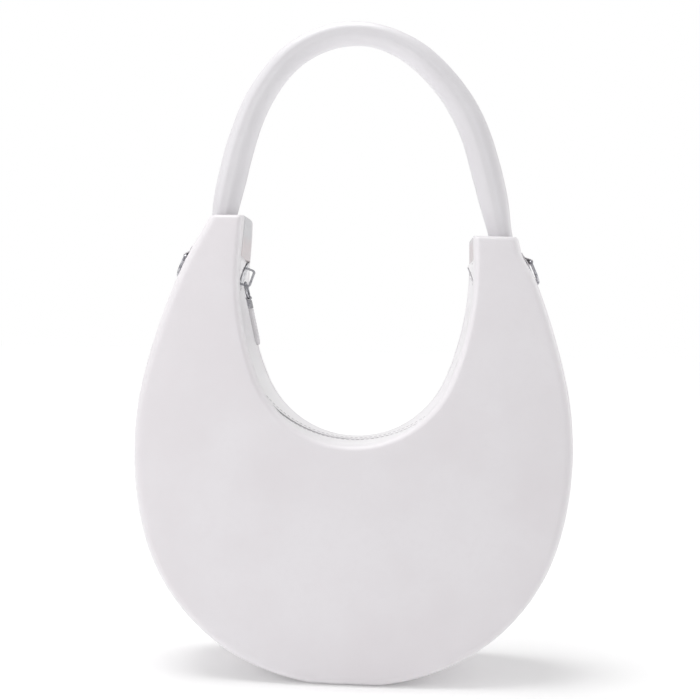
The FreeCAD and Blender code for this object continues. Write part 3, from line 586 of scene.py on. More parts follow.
def crescentSkin(inset, level, roll, ribs, rows, rims):
    # One face of the bag as a grid from horn to horn, with rolled edges and a turned rim
    bends = roll * (1 - np.cos(np.radians(np.linspace(0, 90, rollSteps))))

    def edgeRows(edge, heading, depths):
        first = (inset + bends * bagShape["topTight"]) / math.sin(math.radians(heading))
        middle = np.linspace(first[-1], edge["length"] - first[-1], ribs)[1:-1]
        places = np.concatenate([first, middle, edge["length"] - first[::-1]])
        points, headings = alongEdge(edge, places)
        ways = inward(points, headings, edge, places)
        return points[:, None] + ways[:, None] * (inset + depths)[None, :, None]

    outerRows = edgeRows(outerEdge, bagShape["hornHeading"], bends)
    notchRows = edgeRows(notchEdge, bagShape["notchEndHeading"], bends[::-1] * bagShape["notchTight"])
    shares = np.linspace(0, 1, rows)[1:-1][None, :, None]
    middleRows = outerRows[:, -1:] * (1 - shares) + notchRows[:, :1] * shares
    flat = np.concatenate([outerRows, middleRows, notchRows], 1)
    count, width = flat.shape[:2]
    edgeInset = np.concatenate([bends, np.full(rows - 2, roll), bends[::-1]])[None, :]
    fromTop = topAt(flat[..., 0]) - inset - flat[..., 1]
    for edge, columns in ((outerEdge, slice(0, rollSteps)), (notchEdge, slice(width - rollSteps, width))):
        goIn, goDown = roundedCorner(edgeInset[:, columns], fromTop[:, columns], edge["corner"])
        flat[:, columns, 0] += np.sign(flat[:, columns, 0]) * (edge["into"] * goIn + edge["slant"] * goDown)
        flat[:, columns, 1] -= goDown
    nearEdge = np.clip(roll - edgeInset, 0, roll)
    nearTop = np.clip(roll - fromTop / bagShape["topTight"], 0, roll)
    bend = np.minimum((nearEdge ** 4 + nearTop ** 4) ** 0.25, roll)
    drop = roll - np.sqrt(roll ** 2 - bend ** 2)
    points = inSpace(flat, frontY(flat[..., 0], flat[..., 1], level + drop)).reshape(-1, 3)
    faces = gridFaces(count, width)
    order = np.arange(count * width).reshape(count, width)
    loop = [*order[:, 0], *order[-1, 1:-1], *order[::-1, -1], *order[0, -2:0:-1]]
    base = points[loop][:, [0, 2]]
    ahead = np.roll(base, -1, 0) - np.roll(base, 1, 0)
    ways = unit(quarterTurn(ahead))
    # The rolled edge takes more of the lighter edge tint towards the rim: partly rubbed wear, partly
    # painted highlight
    rings, rub = [points], [((bend / roll) ** 2).ravel()]
    previous = [int(place) for place in loop]
    for tuck, depth in rims:
        spot = base + ways * tuck
        rings.append(inSpace(spot, frontY(spot[:, 0], spot[:, 1], level + depth)))
        rub.append(np.full(len(spot), rimWearAndHighlight))
        start = len(points) + (len(rings) - 2) * len(spot)
        current = list(range(start, start + len(spot)))
        for step in range(len(spot)):
            after = (step + 1) % len(spot)
            faces.append((previous[step], previous[after], current[after], current[step]))
        previous = current
    return np.concatenate(rings), faces, np.concatenate(rub)


def onBag(piece, *nodes, slot="white_leather", body="bag"):
    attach(piece, body)
    if nodes:
        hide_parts(*nodes)
    return piece


# Front and back panels: leather drawn over a board, rolled round its edge and tucked into the seam

panelLeather = {
    "roll": 6.0, "ribs": 190, "rows": 34, "thickness": 1.5, "fill": 0.9,
    "rims": [(0, 6.7), (0, 7.3), (0.12, 7.72), (0.5, 7.95), (1.6, 8.0)],
    "swell": 0.2, "swellAcross": (0.043, 0.7), "swellUp": (0.037, 1.9), "swellFade": 3,
    "clothRibs": 71, "clothRows": 15, "frames": 20, "fullness": 1.4, "smoothing": 8,
    "cloth": {
        "quality": 8, "mass": 0.05, "tension_stiffness": 25, "compression_stiffness": 25,
        "bending_stiffness": 4, "use_pressure": True, "uniform_pressure_force": 4.0,
    },
}


def fillBetween(values, places, count, axis):
    return np.apply_along_axis(lambda line: np.interp(np.arange(count), places, line), axis, values)


def settleLeather(grid):
    # The leather between the rolled edges is blown up as cloth that is held all round. The move is scaled
    # down where it is more than the fullness that the leather has over its board.
    made = panelLeather
    count, width = grid.shape[:2]
    edge = rollSteps - 1
    ribs = np.unique(np.linspace(edge, count - 1 - edge, made["clothRibs"]).round().astype(int))
    rows = np.unique(np.linspace(edge, width - 1 - edge, made["clothRows"]).round().astype(int))
    start = grid[ribs][:, rows]
    held = np.ones(start.shape[:2], bool)
    held[1:-1, 1:-1] = False
    cloth = makeGrid("settling", start, None, lookFrom=bagShape["bodyMiddle"])
    cloth.vertex_groups.new(name="held").add(np.flatnonzero(held).tolist(), 1.0, "REPLACE")
    soft = cloth.modifiers.new("settle", "CLOTH")
    soft.settings.vertex_group_mass = "held"
    for key, value in made["cloth"].items():
        setattr(soft.settings, key, value)
    soft.settings.effector_weights.gravity = 0
    soft.collision_settings.use_collision = False
    soft.point_cache.frame_end = made["frames"]
    for step in range(1, made["frames"] + 1):
        scene.frame_set(step)
    settled = np.zeros(start.size, np.float32)
    cloth.evaluated_get(bpy.context.evaluated_depsgraph_get()).data.vertices.foreach_get("co", settled)
    move = settled.reshape(start.shape) / millimetre - start
    scene.frame_set(1)
    bpy.data.objects.remove(cloth)
    farthest = np.linalg.norm(move, axis=2).max()
    print("leather settled, farthest move", round(float(farthest), 2), "mm before scaling")
    move *= min(1.0, made["fullness"] / farthest)
    spread = fillBetween(fillBetween(move, ribs, count, 0), rows, width, 1)
    for turn in range(made["smoothing"]):
        spread[1:-1] = (spread[:-2] + 2 * spread[1:-1] + spread[2:]) / 4
        spread[:, 1:-1] = (spread[:, :-2] + 2 * spread[:, 1:-1] + spread[:, 2:]) / 4
    return grid + spread


def makePanel(name, node, side):
    made = panelLeather
    points, faces, rub = crescentSkin(0.0, 0.0, made["roll"], made["ribs"], made["rows"], made["rims"])
    waves = []
    for axis, (rate, start) in ((0, made["swellAcross"]), (2, made["swellUp"])):
        waves.append(np.sin(points[:, axis] * rate + start))
    points[:, 1] += made["swell"] * (waves[0] * waves[1]) * (1 - smoothStep(rub * made["swellFade"]))
    points[:, 1] *= side
    shape = (made["ribs"] + 2 * rollSteps - 2, made["rows"] + 2 * rollSteps - 2, 3)
    size = shape[0] * shape[1]
    points[:size] = settleLeather(points[:size].reshape(shape)).reshape(-1, 3)
    piece = makePiece(name, sagged(points), faces, whiteLeather, lookFrom=bagShape["bodyMiddle"], rub=rub)
    thicken(piece, made["thickness"])
    onBag(piece, node)
    print("panel:", name, len(piece.data.polygons), "faces")


frontAndBack = (("front", 1), ("back", -1))
leftAndRight = (("left", -1), ("right", 1))
for name, side in frontAndBack:
    makePanel(name + "PanelLeather", name + "_panel", side)


# Outer gusset: one band from horn to horn, tucked into the seams and folded over the horn tops

gussetBand = {
    "ribs": 260, "rows": 26, "thickness": 1.5, "seamLevel": 8.3, "clear": 4,
    "sink": 0.35, "sinkFrom": 4, "sinkRise": 20,  # the middle sinks in, but not where the bag stands
    "tucks": [(1.6, 0.0), (0.5, 0.05), (0.12, 0.3), (0.0, 0.8)],
}


def makeGusset():
    made = gussetBand
    clear = (outerEdge["corner"] + made["clear"]) / math.cos(math.atan(outerEdge["slant"]))
    middle = alongEdge(outerEdge, np.linspace(clear, outerEdge["length"] - clear, made["ribs"]))[0]
    spots = np.concatenate([foldedEnd(outerEdge, -1)[::-1], middle, foldedEnd(outerEdge, 1)])
    ways = bandWays(spots, outerEdge)
    seam = frontY(spots[:, 0], spots[:, 1], made["seamLevel"])
    edge = made["tucks"][-1][1]
    rows = [(tuck, 0, step) for tuck, step in made["tucks"]]
    rows += [(0, share, None) for share in np.linspace(0, 1, made["rows"])[1:-1]]
    rows += [(tuck, 1, -step) for tuck, step in reversed(made["tucks"])]
    clearOfGround = smoothStep((spots[:, 1] - made["sinkFrom"]) / made["sinkRise"])
    # The tucked rows take the lighter edge tint: partly rubbed wear, partly painted highlight
    points, rub = [], []
    for tuck, share, step in rows:
        y = (seam + edge) * (1 - 2 * share) if step is None else seam * (1 - 2 * share) + step
        sunk = made["sink"] * 4 * share * (1 - share) * clearOfGround
        points.append(inSpace(spots + ways * (tuck + sunk)[:, None], y))
        rub.append(np.full(len(spots), 0.0 if step is None else rimWearAndHighlight))
    points = sagged(np.stack(points, 1))
    piece = makeGrid(
        "outerGussetLeather", points, whiteLeather, lookFrom=bagShape["bandMiddle"], rub=np.stack(rub, 1))
    thicken(piece, made["thickness"])
    onBag(piece, "outer_gusset")
    print("gusset:", len(piece.data.polygons), "faces")


makeGusset()


# Zip: facings that slope from the panels down to the tapes, and the woven tapes under them

zipShape = {
    "radius": 77.1, "recess": 1.6, "faceEdge": 7.2, "faceTop": 74.9, "faceEnd": 115.4, "faceSplit": 60,
    "faceHeading": 91.5, "tapeEnd": 115.7, "tapeNear": 4.75, "tapeFar": 13.7, "tapeThickness": 0.6,
    "tapeRibs": 200, "tapeRows": 12,
}
zipCentre = hornTop - bagShape["notchDepth"] + zipShape["radius"] - zipShape["recess"]
zipMiddle = (0, 0, zipCentre)


def facingRuns(count):
    # Matching points on the notch edge and on the zip circle
    bottom, sideCentre, sideRadius = notchSideArc()
    above, below = [], []
    split, end = zipShape["faceSplit"], zipShape["faceEnd"]
    bend, last = bagShape["notchHeading"], zipShape["faceHeading"]
    for angle in np.linspace(-end, end, count):
        size, side = abs(angle), math.copysign(1, angle)
        if size <= split:
            x, z = arcPoint(bottom, bagShape["notchRadius"], size / split * bend)
        else:
            share = (size - split) / (end - split)
            x, z = arcPoint(sideCentre, sideRadius, bend + share * (last - bend))
        above.append((side * x, z))
        x, z = arcPoint((0, zipCentre), zipShape["faceTop"], size)
        below.append((side * x, z))
    return np.array(above), np.array(below)


facingLeather = {
    "ribs": 190, "rows": 14, "rowsFrom": 0.07, "rowsTo": 0.93, "thickness": 1.0, "crown": 0.45,
    "seamLevel": 8.35, "dip": 1.5, "step": 0.4,
    "seamShares": [0.0, 0.01, 0.03], "seamLifts": [-1.0, -0.25, 0.0],  # tucked under the panel
    "edgeShares": [0.965, 0.985, 1.0], "edgeLifts": [0.0, -0.08, -0.35],  # turned down beside the teeth
    # the edge beside the teeth takes the lighter edge tint: partly rubbed wear, partly painted highlight
    "rub": 0.6, "rubFrom": 0.9, "rubReach": 0.1,
    "stitchRibs": 260, "stitchShare": 0.86, "stitchLift": 0.05, "stitchSpare": 4,
}


def facingPoint(above, below, share, side, lift):
    # share 0 at the panel's seam, 1 at the edge beside the teeth, where the front stands a little higher
    seam = frontY(above[:, 0], above[:, 1], facingLeather["seamLevel"])
    fallen = 1 - (1 - share) ** facingLeather["dip"]
    spot = above * (1 - fallen) + below * fallen
    raised = facingLeather["crown"] * 4 * share * (1 - share) * (1 - share) + lift
    raised += side * facingLeather["step"] * share ** 2
    toward = unit(np.array([0, zipCentre]) - spot)
    return inSpace(spot + toward * raised, side * (seam * (1 - share) - zipShape["faceEdge"] * share))


def makeFacing(name, node, side):
    made = facingLeather
    above, below = facingRuns(made["ribs"])
    middle = np.linspace(made["rowsFrom"], made["rowsTo"], made["rows"])
    shares = np.concatenate([made["seamShares"], middle, made["edgeShares"]])
    lifts = np.concatenate([made["seamLifts"], middle * 0, made["edgeLifts"]])
    rows = [facingPoint(above, below, share, side, lift) for share, lift in zip(shares, lifts)]
    points = sagged(np.stack(rows, 1))
    rub = smoothStep((shares - made["rubFrom"]) / made["rubReach"]) * made["rub"]
    # The facings are painted lighter than the panels, as highlight
    piece = makeGrid(name, points, highlitFacingLeather, lookAt=zipMiddle, rub=np.tile(rub, len(points)))
    thicken(piece, made["thickness"])
    onBag(piece, node)


def makeTape(name, node, side):
    end = zipShape["tapeEnd"]
    angles = np.radians(np.linspace(-end, end, zipShape["tapeRibs"]))[:, None]
    ys = np.linspace(zipShape["tapeNear"], zipShape["tapeFar"], zipShape["tapeRows"])[None, :]
    radius = zipShape["radius"] - zipShape["tapeThickness"] / 2
    x, y, z = np.broadcast_arrays(radius * np.sin(angles), -side * ys, zipCentre - radius * np.cos(angles))
    piece = makeGrid(name, np.stack([x, y, z], 2), tapeWeave, lookAt=zipMiddle)
    setUv(piece, *np.broadcast_arrays(ys, angles * radius))
    thicken(piece, zipShape["tapeThickness"])
    onBag(piece, node, slot="zip_tape")


for name, side in frontAndBack:
    makeFacing(name + "ZipFacing", name + "_zip_facing", side)
for name, side in frontAndBack:
    makeTape(name + "ZipTape", name + "_zip_tape", side)
print("zip facings and tapes made")


# Patches on the inner faces of the horns, above each end of the zip, folded over the horn tops

endPatch = {
    "thickness": 1.4, "lowHeight": 248.2, "seamLevel": 8.3, "ribs": 14, "proud": 0.35,
    "footDepths": [1.3, 0.25], "footRise": 0.25, "lookAt": (0, 0, 250),
    "wornTop": 264.0, "wornReach": 6.0,  # below this the patch is warmer in tone
    "shares": [0.0, 0.25, 0.5, 0.72, 0.86, 0.93, 0.97, 0.99, 1.0],
    "tucks": [0.0, 0.0, 0.0, 0.0, 0.0, 0.02, 0.12, 0.45, 1.5],
}


def makeEndPatch(name, node, side):
    made = endPatch
    top = foldedEnd(notchEdge, side)
    heights = np.linspace(made["lowHeight"], top[0][1], made["ribs"], endpoint=False)
    run = notchEdge["run"][notchEdge["run"][:, 0] * side > 0]
    run = run[np.argsort(run[:, 1])]
    spots = np.concatenate([np.stack([np.interp(heights, run[:, 1], run[:, 0]), heights], 1), top])
    ways = bandWays(spots, notchEdge) * side
    proud = made["proud"] - np.concatenate([made["footDepths"], np.zeros(len(spots))])
    spots = np.concatenate([spots[:1], spots[:1], spots])
    ways = np.concatenate([ways[:1], ways[:1], ways])
    spots[2, 1] += made["footRise"]
    half = -frontY(spots[:, 0], spots[:, 1], made["seamLevel"])
    shares, tucks = np.array(made["shares"]), np.array(made["tucks"])
    shares = np.concatenate([-shares[:0:-1], shares])
    tucks = np.concatenate([tucks[:0:-1], tucks])
    points = []
    for share, tuck in zip(shares, tucks):
        points.append(inSpace(spots + ways * (tuck - proud)[:, None], half * share))
    points = sagged(np.stack(points, 1))
    worn = smoothStep((made["wornTop"] - points[..., 2]) / made["wornReach"])
    # The patches' darker leather is partly painted shade on the inner faces of the horns
    piece = makeGrid(name, points, shadedPatchLeather, lookAt=made["lookAt"], rub=worn)
    thicken(piece, made["thickness"])
    onBag(piece, node)


for name, side in leftAndRight:
    makeEndPatch(name + "HornPatch", name + "_zip_end_tab", side)


# Handle: a stuffed leather tube made by nodes on a planned line. Each row of its shape holds the share of
# the way from horn to horn, how far the soft tube bows out from the planned line, and its radius.

handleShape = {
    "outset": 0.5, "shift": 0.3, "tail": 12, "leg": 45.7, "legHeading": 10.5, "topHeading": 44.7,
    "shoulderRadius": 111, "lean": 3.65, "step": 2.0, "fill": 0.95, "blur": 0.03, "blurSteps": 13,
    "rows": [
        (-0.04, 2.2, 7.2), (0.0, 2.4, 7.2), (0.03, 2.5, 7.4), (0.055, 2.4, 8.0), (0.085, 1.8, 8.7),
        (0.12, 0.5, 9.0), (0.17, -0.9, 8.9), (0.21, -1.3, 8.6), (0.28, -0.3, 8.3), (0.38, 0.4, 7.8),
        (0.5, 0.9, 7.3), (0.6, 0.3, 7.6), (0.68, 0.8, 8.2), (0.76, 1.7, 8.7), (0.84, 2.5, 9.0),
        (0.9, 3.4, 9.2), (0.95, 3.6, 9.0), (0.98, 3.4, 8.3), (1.0, 3.1, 7.5), (1.02, 2.9, 7.2),
        (1.06, 2.6, 7.2),
    ],
    "tube": {  # widths and places in turns and shares, depths in metres
        "Seam Turn": 0.0, "Seam Width": 0.035, "Seam Depth": 0.0005,
        "Fold Place": 0.62, "Fold Turn": 0.4, "Fold Slope": 1.1, "Fold Depth": 0.0007, "Softness": 0.0005,
    },
    "sides": 44, "foldReach": 0.10, "foldFull": 0.04, "foldEnd": 0.16,
    "lumpScale": 38.0, "lumpMiddle": 0.55,
}


def handleLine():
    shape = handleShape
    spread = (outerHalf()[-1][0] + notchHalf(hornTop)[-1][0]) / 2 + shape["outset"]
    leg, top = math.radians(shape["legHeading"]), math.radians(shape["topHeading"])
    legX = spread - shape["leg"] * math.sin(leg)
    topX = legX - shape["shoulderRadius"] * (math.cos(leg) - math.cos(top))
    spot = np.array([-spread - shape["tail"] * math.sin(leg), -shape["tail"] * math.cos(leg)])
    points, turn = [spot], leg
    straight = shape["tail"] + shape["leg"]
    runs = [(straight, 0), (shape["shoulderRadius"], top - leg), (topX / math.cos(top), math.pi - 2 * top)]
    for size, bend in runs + [runs[1], runs[0]]:
        length = size * bend if bend else size
        count = max(2, round(length / shape["step"]))
        for step in range(count):
            turn += bend / count / 2
            spot = spot + np.array([math.sin(turn), math.cos(turn)]) * length / count
            turn += bend / count / 2
            points.append(spot)
    x, z = np.array(points).T
    lean = math.radians(shape["lean"])
    leanX = x * math.cos(lean) - z * math.sin(lean) + shape["shift"]
    return np.stack([leanX, x * math.sin(lean) + z * math.cos(lean) + hornTop], 1)


def bowedLine():
    # The planned line pushed out to where the soft tube lies, with the radius at each point
    line = handleLine()
    distance = lengthsAlong(line)
    share = (distance - handleShape["tail"]) / (distance[-1] - 2 * handleShape["tail"])
    place, bows, radii = np.array(handleShape["rows"]).T
    blur = np.linspace(-handleShape["blur"], handleShape["blur"], handleShape["blurSteps"])
    bow = np.mean([np.interp(share + shift, place, bows) for shift in blur], 0)
    radius = np.mean([np.interp(share + shift / 3, place, radii) for shift in blur], 0)
    spots = line + quarterTurn(tangents(line)) * bow[:, None]
    return inSpace(spots, spots[:, 0] * 0), radius


def tubeTree():
    shape = handleShape
    inputs = {"Line": "Geometry", **{label: "Float" for label in shape["tube"]}, "Leather": "Material"}
    tree, given, result = startTree("stuffedTube", "GeometryNodeTree", inputs, {"Tube": "Geometry"})

    def keepFactor(curve, name):
        factor = put(tree, "GeometryNodeSplineParameter", out="Factor")
        sockets = {"Geometry": curve, "Name": name, "Value": factor}
        return put(tree, "GeometryNodeStoreNamedAttribute", sockets)

    def read(name):
        return put(tree, "GeometryNodeInputNamedAttribute", {"Name": name}, "Attribute")

    line = keepFactor(put(tree, "GeometryNodeMeshToCurve", {"Mesh": given["Line"]}), "along")
    circle = {"Resolution": shape["sides"], "Radius": millimetre}
    ring = keepFactor(put(tree, "GeometryNodeCurvePrimitiveCircle", circle), "around")
    swept = {"Curve": line, "Profile Curve": ring, "Fill Caps": True}
    tube = put(tree, "GeometryNodeCurveToMesh", swept)
    along, around, radius = read("along"), read("around"), read("thickness")

    def turnFrom(value):
        # How far round the tube a point lies from value, at most half a turn either way
        return calc("FRACT", around - value + 1.5) - 0.5

    seam = calc("ABSOLUTE", turnFrom(given["Seam Turn"]))
    groove = ramp(seam, 0.0, given["Seam Width"], -1.0, 0.0) * given["Seam Depth"]
    drift = along - given["Fold Place"]
    foldWay = turnFrom(given["Fold Turn"] + drift * given["Fold Slope"])
    dip = ramp(calc("ABSOLUTE", foldWay), 0.0, shape["foldReach"], -1.0, 0.0)
    window = ramp(calc("ABSOLUTE", drift), shape["foldFull"], shape["foldEnd"], 1.0, 0.0)
    lumps = noise(put(tree, "GeometryNodeInputPosition"), shape["lumpScale"], 2.0)
    soft = (lumps - shape["lumpMiddle"]) * given["Softness"]
    push = groove + dip * window * given["Fold Depth"] + soft + (radius - millimetre)
    outwards = {0: put(tree, "GeometryNodeInputNormal"), "Scale": push}
    offset = put(tree, "ShaderNodeVectorMath", outwards, operation="SCALE")
    tube = put(tree, "GeometryNodeSetPosition", {"Geometry": tube, "Offset": offset})
    return endTree(tree, result, tube, given["Leather"])


def useTree(piece, tree, values):
    # Inputs are set by identifier, before the first evaluation
    modifier = piece.modifiers.new(tree.name, "NODES")
    modifier.node_group = tree
    for item in tree.interface.items_tree:
        if item.item_type == "SOCKET" and item.in_out == "INPUT" and item.name in values:
            modifier[item.identifier] = values[item.name]
    plainMesh(piece)


handlePoints, handleRadius = bowedLine()
handleTube = makeLines("handleTube", [handlePoints])
thicknessData = handleTube.data.attributes.new("thickness", "FLOAT", "POINT").data
thicknessData.foreach_set("value", (handleRadius * millimetre).astype(np.float32))
useTree(handleTube, tubeTree(), {**handleShape["tube"], "Leather": shadedHandleLeather})
onBag(handleTube, "handle_cover", "handle_core")
print("handle:", len(handleTube.data.polygons), "faces")


# Horn caps: small plates inside the horn tops, drawn up a little round the handle

hornCap = {
    "inset": 1.6, "drop": 1.4, "thickness": 1.2, "seamLevel": 8.2, "gap": 0.15, "squareness": 8,
    "lip": 0.5, "lipReach": 0.4, "fall": 0.2, "rings": 9, "count": 72,
    "slopeFrom": 2, "slopeTo": 8,  # points of the handle that give its lean here
    "above": 400,
}


def makeHornCap(name, node, side):
    made = hornCap
    level = float(topAt(side)) - made["drop"]
    half = len(handlePoints) // 2
    fromEnd = slice(None, half) if side < 0 else slice(None, half - 1, -1)
    ends, radii = handlePoints[fromEnd], handleRadius[fromEnd]
    low, high = ends[made["slopeFrom"]], ends[made["slopeTo"]]
    stretch = math.hypot(1, (high[0] - low[0]) / (high[2] - low[2]))
    centreX = float(np.interp(level, ends[:, 2], ends[:, 0]))
    hole = float(np.interp(level, ends[:, 2], radii)) + made["gap"]
    near, far = [hornPoint(edge, side, made["inset"], made["drop"])[0] for edge in (notchEdge, outerEdge)]
    angles = np.linspace(0, 2 * math.pi, made["count"], endpoint=False)
    across, deep = np.cos(angles), np.sin(angles)
    power = made["squareness"]
    reach = (np.abs(across) ** power + np.abs(deep) ** power) ** (-1 / power)
    edgeX = (near + far) / 2 + abs(far - near) / 2 * across * reach
    edgeY = -frontY(edgeX, level, made["seamLevel"]) * deep * reach
    rings = []
    for share in np.linspace(0, 1, made["rings"]):
        x = (centreX + hole * across * stretch) * (1 - share) + edgeX * share
        y = hole * deep * (1 - share) + edgeY * share
        lip = made["lip"] * (1 - smoothStep(share / made["lipReach"]))
        rings.append(np.stack([x, y, x * 0 + level + lip - made["fall"] * share], 1))
    points = np.concatenate(rings)
    piece = makePiece(
        name, points, gridFaces(made["rings"], made["count"], closed=True), whiteLeather,
        lookAt=(centreX, 0, made["above"]), rub=np.zeros(len(points)))
    thicken(piece, made["thickness"])
    onBag(piece, node)


for name, side in leftAndRight:
    makeHornCap(name + "HornCap", name + "_horn_cap", side)


# Strap loops: a strip that goes down the horn, round the ring's bar and back up over itself

strapLoop = {
    "x": 100.208, "z": 255.438, "strip": 0.9, "slack": 0.1, "eye": 2.05, "length": 7.0, "width": 12.0,
    "turn": 23.88, "bendFrom": 180, "bendTo": 372, "hem": 3.4, "rub": 0.7, "rubFrom": 0.45,
    "section": [  # shares of the width and of the thickness
        (-0.5, -0.28), (-0.485, -0.42), (-0.46, -0.48), (-0.4, -0.5), (-0.2, -0.5), (0, -0.5),
        (0.2, -0.5), (0.4, -0.5), (0.46, -0.48), (0.485, -0.42), (0.5, -0.28),
    ],
    "stitchDrop": 1.6, "stitchHalf": 4.8, "stitchSink": 0.02,
}


def loopPlace(across, up, side):
    # From the strip's own frame to the bag; the right strip's top follows the pinched leather
    turn = math.radians(strapLoop["turn"])
    if side > 0:
        across = across - pinchAt(strapLoop["z"] + up) * (1 - smoothStep(-up / strapLoop["length"]))
    x = strapLoop["x"] + across * math.cos(turn) - up * math.sin(turn)
    z = strapLoop["z"] + across * math.sin(turn) + up * math.cos(turn)
    return side * x, z


def makeStrapLoop(name, node, side):
    made = strapLoop
    half, eye, length, hem = made["strip"] / 2, made["eye"], made["length"], made["hem"]
    line = [(half, -step) for step in np.linspace(0, length, 8)[:-1]]
    for angle in np.radians(np.linspace(made["bendFrom"], made["bendTo"], 22)):
        line.append((eye + (eye - half) * math.cos(angle), -length + (eye - half) * math.sin(angle)))
    bentX, bentZ = line[-1]
    for share in np.linspace(0.15, 1, 6):
        line.append((bentX * (1 - share) + 3 * half * share, bentZ * (1 - share) - hem * share))
    line += [(3 * half, -step) for step in np.linspace(hem, 0, 5)[1:]]
    line = np.array(line)
    outwards = -quarterTurn(tangents(line))
    section = made["section"] + [(across, -depth) for across, depth in reversed(made["section"])]
    thickness = made["strip"] - made["slack"]
    points = []
    for spot, way in zip(line, outwards):
        for across, depth in section:
            x, z = loopPlace(*(spot + way * depth * thickness), side)
            points.append((x, across * made["width"], z))
    faces = cappedFaces(len(line), len(section))
    rub = [made["rub"] if abs(across) > made["rubFrom"] else 0.0 for across, depth in section] * len(line)
    centreX, centreZ = loopPlace(eye, -length, side)
    piece = makePiece(name, points, faces, tabLeather, lookFrom=(centreX, 0, centreZ), rub=rub)
    onBag(piece, node)


for name, side in leftAndRight:
    makeStrapLoop(name + "StrapLoop", name + "_strap_loop", side)


# Pull tab: two thin layers of leather, sewn round the edge, with a neck that goes up into the clamp

pullTab = {
    "x": -66.7, "z": 224.734, "lean": 13.0, "head": -6.5, "length": 23.0, "width": 8.0, "thickness": 2.3,
    "neckWidth": 4.1, "neckThickness": 0.95, "neckTop": -3.15, "neckSink": 0.4, "middle": -18,
    "steps": [  # from the middle out: inset from the edge, and share of the half thickness
        (3.6, 1.0), (2.6, 1.0), (1.75, 0.985), (1.45, 0.93), (1.15, 0.94), (0.75, 0.95), (0.4, 0.88),
        (0.14, 0.68), (0.0, 0.36),
    ],
    "rub": 0.8, "rubInset": 0.3, "stitchInset": 1.3, "stitchDepth": 0.94, "stitchLift": 0.03,
    "sideSteps": 14, "headSteps": 5,
}


def tabPlace(x, y, z):
    # From the tab's own frame, hanging straight down from its pin, to its place askew on the bag
    lean = math.radians(pullTab["lean"])
    turnedX = x * math.cos(lean) - z * math.sin(lean)
    return pullTab["x"] + turnedX, y, pullTab["z"] + x * math.sin(lean) + z * math.cos(lean)


def tabOutline(inset):
    # Down one side, round the foot, up the other side and back across the head
    half = pullTab["width"] / 2 - inset
    head = pullTab["head"] - inset
    foot = pullTab["head"] - pullTab["length"] + pullTab["width"] / 2
    shares = np.linspace(0, 1, pullTab["sideSteps"])
    line = [(-half, head + (foot - head) * share) for share in shares]
    for angle in np.radians(np.linspace(180, 360, 2 * pullTab["sideSteps"]))[1:-1]:
        line.append((half * math.cos(angle), foot + half * math.sin(angle)))
    line += [(half, foot + (head - foot) * share) for share in shares]
    across = np.linspace(0, 1, pullTab["headSteps"] + 2)[1:-1]
    return line + [(half - 2 * half * share, head) for share in across]


def makePullTab():
    made = pullTab
    rings = made["steps"] + [(inset, -depth) for inset, depth in reversed(made["steps"])]
    points, rub = [], []
    for inset, depth in rings:
        ring = [tabPlace(depth * made["thickness"] / 2, y, z) for y, z in tabOutline(inset)]
        points += ring
        rub += [made["rub"] if inset < made["rubInset"] else 0.0] * len(ring)
    total = len(points)
    faces = cappedFaces(len(rings), len(ring))
    for z in (made["neckTop"], made["head"] - made["neckSink"]):
        for y, x in ((-1, 1), (1, 1), (1, -1), (-1, -1)):
            points.append(tabPlace(x * made["neckThickness"] / 2, y * made["neckWidth"] / 2, z))
            rub.append(0.0)
    faces += [tuple(total + corner for corner in face) for face in cappedFaces(2, 4)]
    middle = tabPlace(0, 0, made["middle"])
    piece = makePiece("pullTabLeather", points, faces, tabLeather, lookFrom=middle, rub=rub)
    onBag(piece, "pull_tab", body="pull_tab")


makePullTab()
print("patches, caps, loops and tab made")


# Linings: thin cloth behind the boards, seen only through the open zip

lining = {
    "inset": 3.4, "level": 3.25, "roll": 0.3, "ribs": 90, "rows": 16, "thickness": 0.6, "behind": 400,
    "gussetInset": 3.3, "gussetEnd": 46.0, "gussetLevel": 6.3, "gussetRibs": 160, "gussetRows": 12,
    "flat": (0.256, 0.262), "gussetFlat": (0.068, 0.62),  # cut sizes in metres
}


def finishLining(piece, node, across, along):
    setUv(piece, across, along)
    thicken(piece, lining["thickness"])
    onBag(piece, node, slot="lining_cloth")


def makeLining(name, node, side):
    points, faces = crescentSkin(
        lining["inset"], lining["level"], lining["roll"], lining["ribs"], lining["rows"], [])[:2]
    points[:, 1] *= side
    lookFrom = (0, -side * lining["behind"], bagShape["bodyMiddle"][2])
    piece = makePiece(name, sagged(points), faces, liningWeave, lookFrom=lookFrom)
    finishLining(piece, node, points[:, 0], points[:, 2])


def makeGussetLining():
    end = lining["gussetEnd"]
    places = np.linspace(end, outerEdge["length"] - end, lining["gussetRibs"])
    spots, headings = alongEdge(outerEdge, places)
    spots = spots + np.stack([-np.sin(headings), np.cos(headings)], 1) * lining["gussetInset"]
    half = -frontY(spots[:, 0], spots[:, 1], lining["gussetLevel"])
    shares = np.linspace(-1, 1, lining["gussetRows"])
    points = np.stack([inSpace(spots, half * share) for share in shares], 1)
    piece = makeGrid("gussetLiningCloth", points, liningWeave, lookFrom=bagShape["bandMiddle"])
    along = np.tile(places[:, None], (1, len(shares)))
    finishLining(piece, "gusset_lining", points[..., 1], along)


for name, side in frontAndBack:
    makeLining(name + "LiningCloth", name + "_lining", side)
makeGussetLining()


# Stitching: one tree lays short threads along any sewn line

stitch = {"plain": (3.0, 2.3, 0.24), "fine": (2.0, 1.5, 0.17)}  # pitch, length and thread radius


